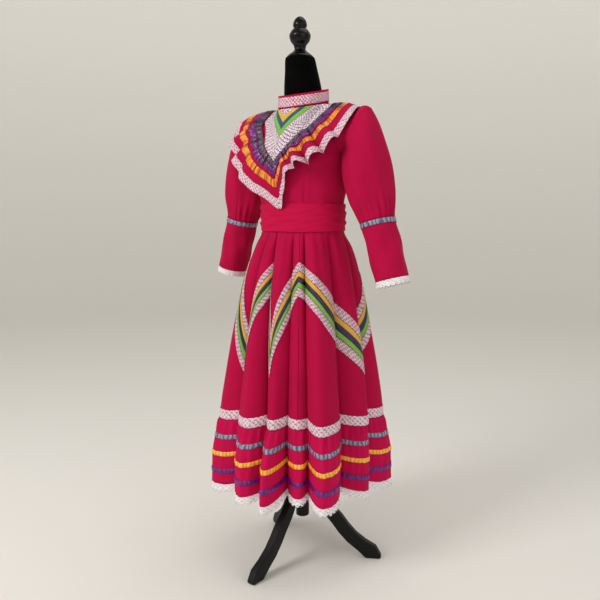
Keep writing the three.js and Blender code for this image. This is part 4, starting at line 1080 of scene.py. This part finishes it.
outline = leg_outline()
for index, degrees in enumerate(LEG_DEGREES):
    mesh = bpy.data.meshes.new(f"stand_leg_{index + 1}_board")
    count = len(outline)
    turn = math.radians(degrees)
    out = array([math.sin(turn), -math.cos(turn), 0])
    across = array([math.cos(turn), math.sin(turn), 0])
    flat = outline[:, :1] * out + outline[:, 1:] * array([0, 0, 1.0])
    corners = np.vstack([flat - across * LEG_THICK / 2, flat + across * LEG_THICK / 2]) * MM
    ring = list(range(count))
    faces = [ring[::-1], [i + count for i in ring]]
    faces += [[i, (i + 1) % count, (i + 1) % count + count, i + count] for i in ring]
    mesh.from_pydata(corners.tolist(), [], faces)
    mesh.materials.append(WOOD)
    leg = put(mesh.name, mesh)
    bevel = leg.modifiers.new("rounded", "BEVEL")
    bevel.width, bevel.segments, bevel.limit_method, bevel.angle_limit = 0.004, 3, "ANGLE", 0.9
    mesh.shade_smooth()
    leg.modifiers.new("even", "WEIGHTED_NORMAL")
    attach(leg, "root")
    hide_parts(f"stand_leg_{index + 1}")

# ---- studio, lights and camera ----
PAPER = linear(240, 238, 233)
studio = Nodes("studio_paper", 0.95)
studio.set("Base Color", PAPER)
studio.set("Specular IOR Level", 0.1)
# Painted light: the paper glows, a little more with height, standing in for a backdrop lit
# brighter towards the top.
studio.set("Emission Color", PAPER)
place = studio.add("ShaderNodeTexCoord")
height = studio.add("ShaderNodeSeparateXYZ")
glow = studio.add("ShaderNodeMapRange", **{"From Max": 4.0, "To Max": 0.21})
studio.link(place.outputs["Object"], height.inputs[0])
studio.link(height.outputs[2], glow.inputs[0])
studio.link(glow.outputs[0], studio.shader.inputs["Emission Strength"])
# A round floor that curves up into a wall: radii and heights in metres.
FLOOR, COVE, WALL_TOP, SIDES = 5.5, 3.5, 9.0, 96
profile = [(3.0, 0), (FLOOR, 0)]
for a in np.arange(1, 13) / 12 * QUARTER:
    profile.append((FLOOR + COVE * math.sin(a), COVE - COVE * math.cos(a)))
profile.append((FLOOR + COVE, WALL_TOP))
points = [(r * math.cos(k / SIDES * TAU), r * math.sin(k / SIDES * TAU), z)
          for r, z in profile for k in range(SIDES)]
faces = [tuple(range(SIDES))]
for row in range(0, (len(profile) - 1) * SIDES, SIDES):
    for k in range(SIDES):
        a, b = row + k, row + (k + 1) % SIDES
        faces.append((a, a + SIDES, b + SIDES, b))
mesh = bpy.data.meshes.new("studio_floor")
mesh.from_pydata(points, [], faces)
mesh.materials.append(studio.material)
mesh.shade_smooth()
put("studio_floor", mesh)


def area_light(name, place, target, size, power, colour):
    light = bpy.data.lights.new(name, "AREA")
    light.size, light.energy, light.color = size, power, colour
    lamp = put(name, light)
    lamp.location = place
    x, y, z = np.subtract(target, place)
    lamp.rotation_euler = (math.atan2(math.hypot(x, y), -z), 0, math.atan2(y, x) - QUARTER)


area_light("key", (-0.9, -3.6, 3.0), (0, 0, 0.95), 1.5, 86, (1, 0.98, 0.96))
area_light("fill", (3.4, -1.0, 1.8), (0, 0, 0.9), 2.5, 16, (0.95, 0.97, 1))
area_light("top", (0.6, 0.8, 4.2), (0, 0, 1.0), 2.5, 28, (1, 1, 1))
world = bpy.data.worlds.new("studio_air")
world.use_nodes = True
air = world.node_tree.nodes["Background"]
air.inputs["Color"].default_value = linear(236, 233, 228)
air.inputs["Strength"].default_value = 0.48
bpy.context.scene.world = world

# The photo's view, from the wearer's front left, with its horizontal offset.
camera_data = bpy.data.cameras.new("photo_camera")
camera_data.lens, camera_data.sensor_width, camera_data.shift_x = 41.9, 36, -0.0043
camera = put("photo_camera", camera_data)
camera.location = (1.386, -1.652, 1.117)
camera.rotation_euler = (math.radians(82.47), 0, math.radians(40))
bpy.context.scene.camera = camera
bpy.context.scene.view_settings.view_transform = "Standard"
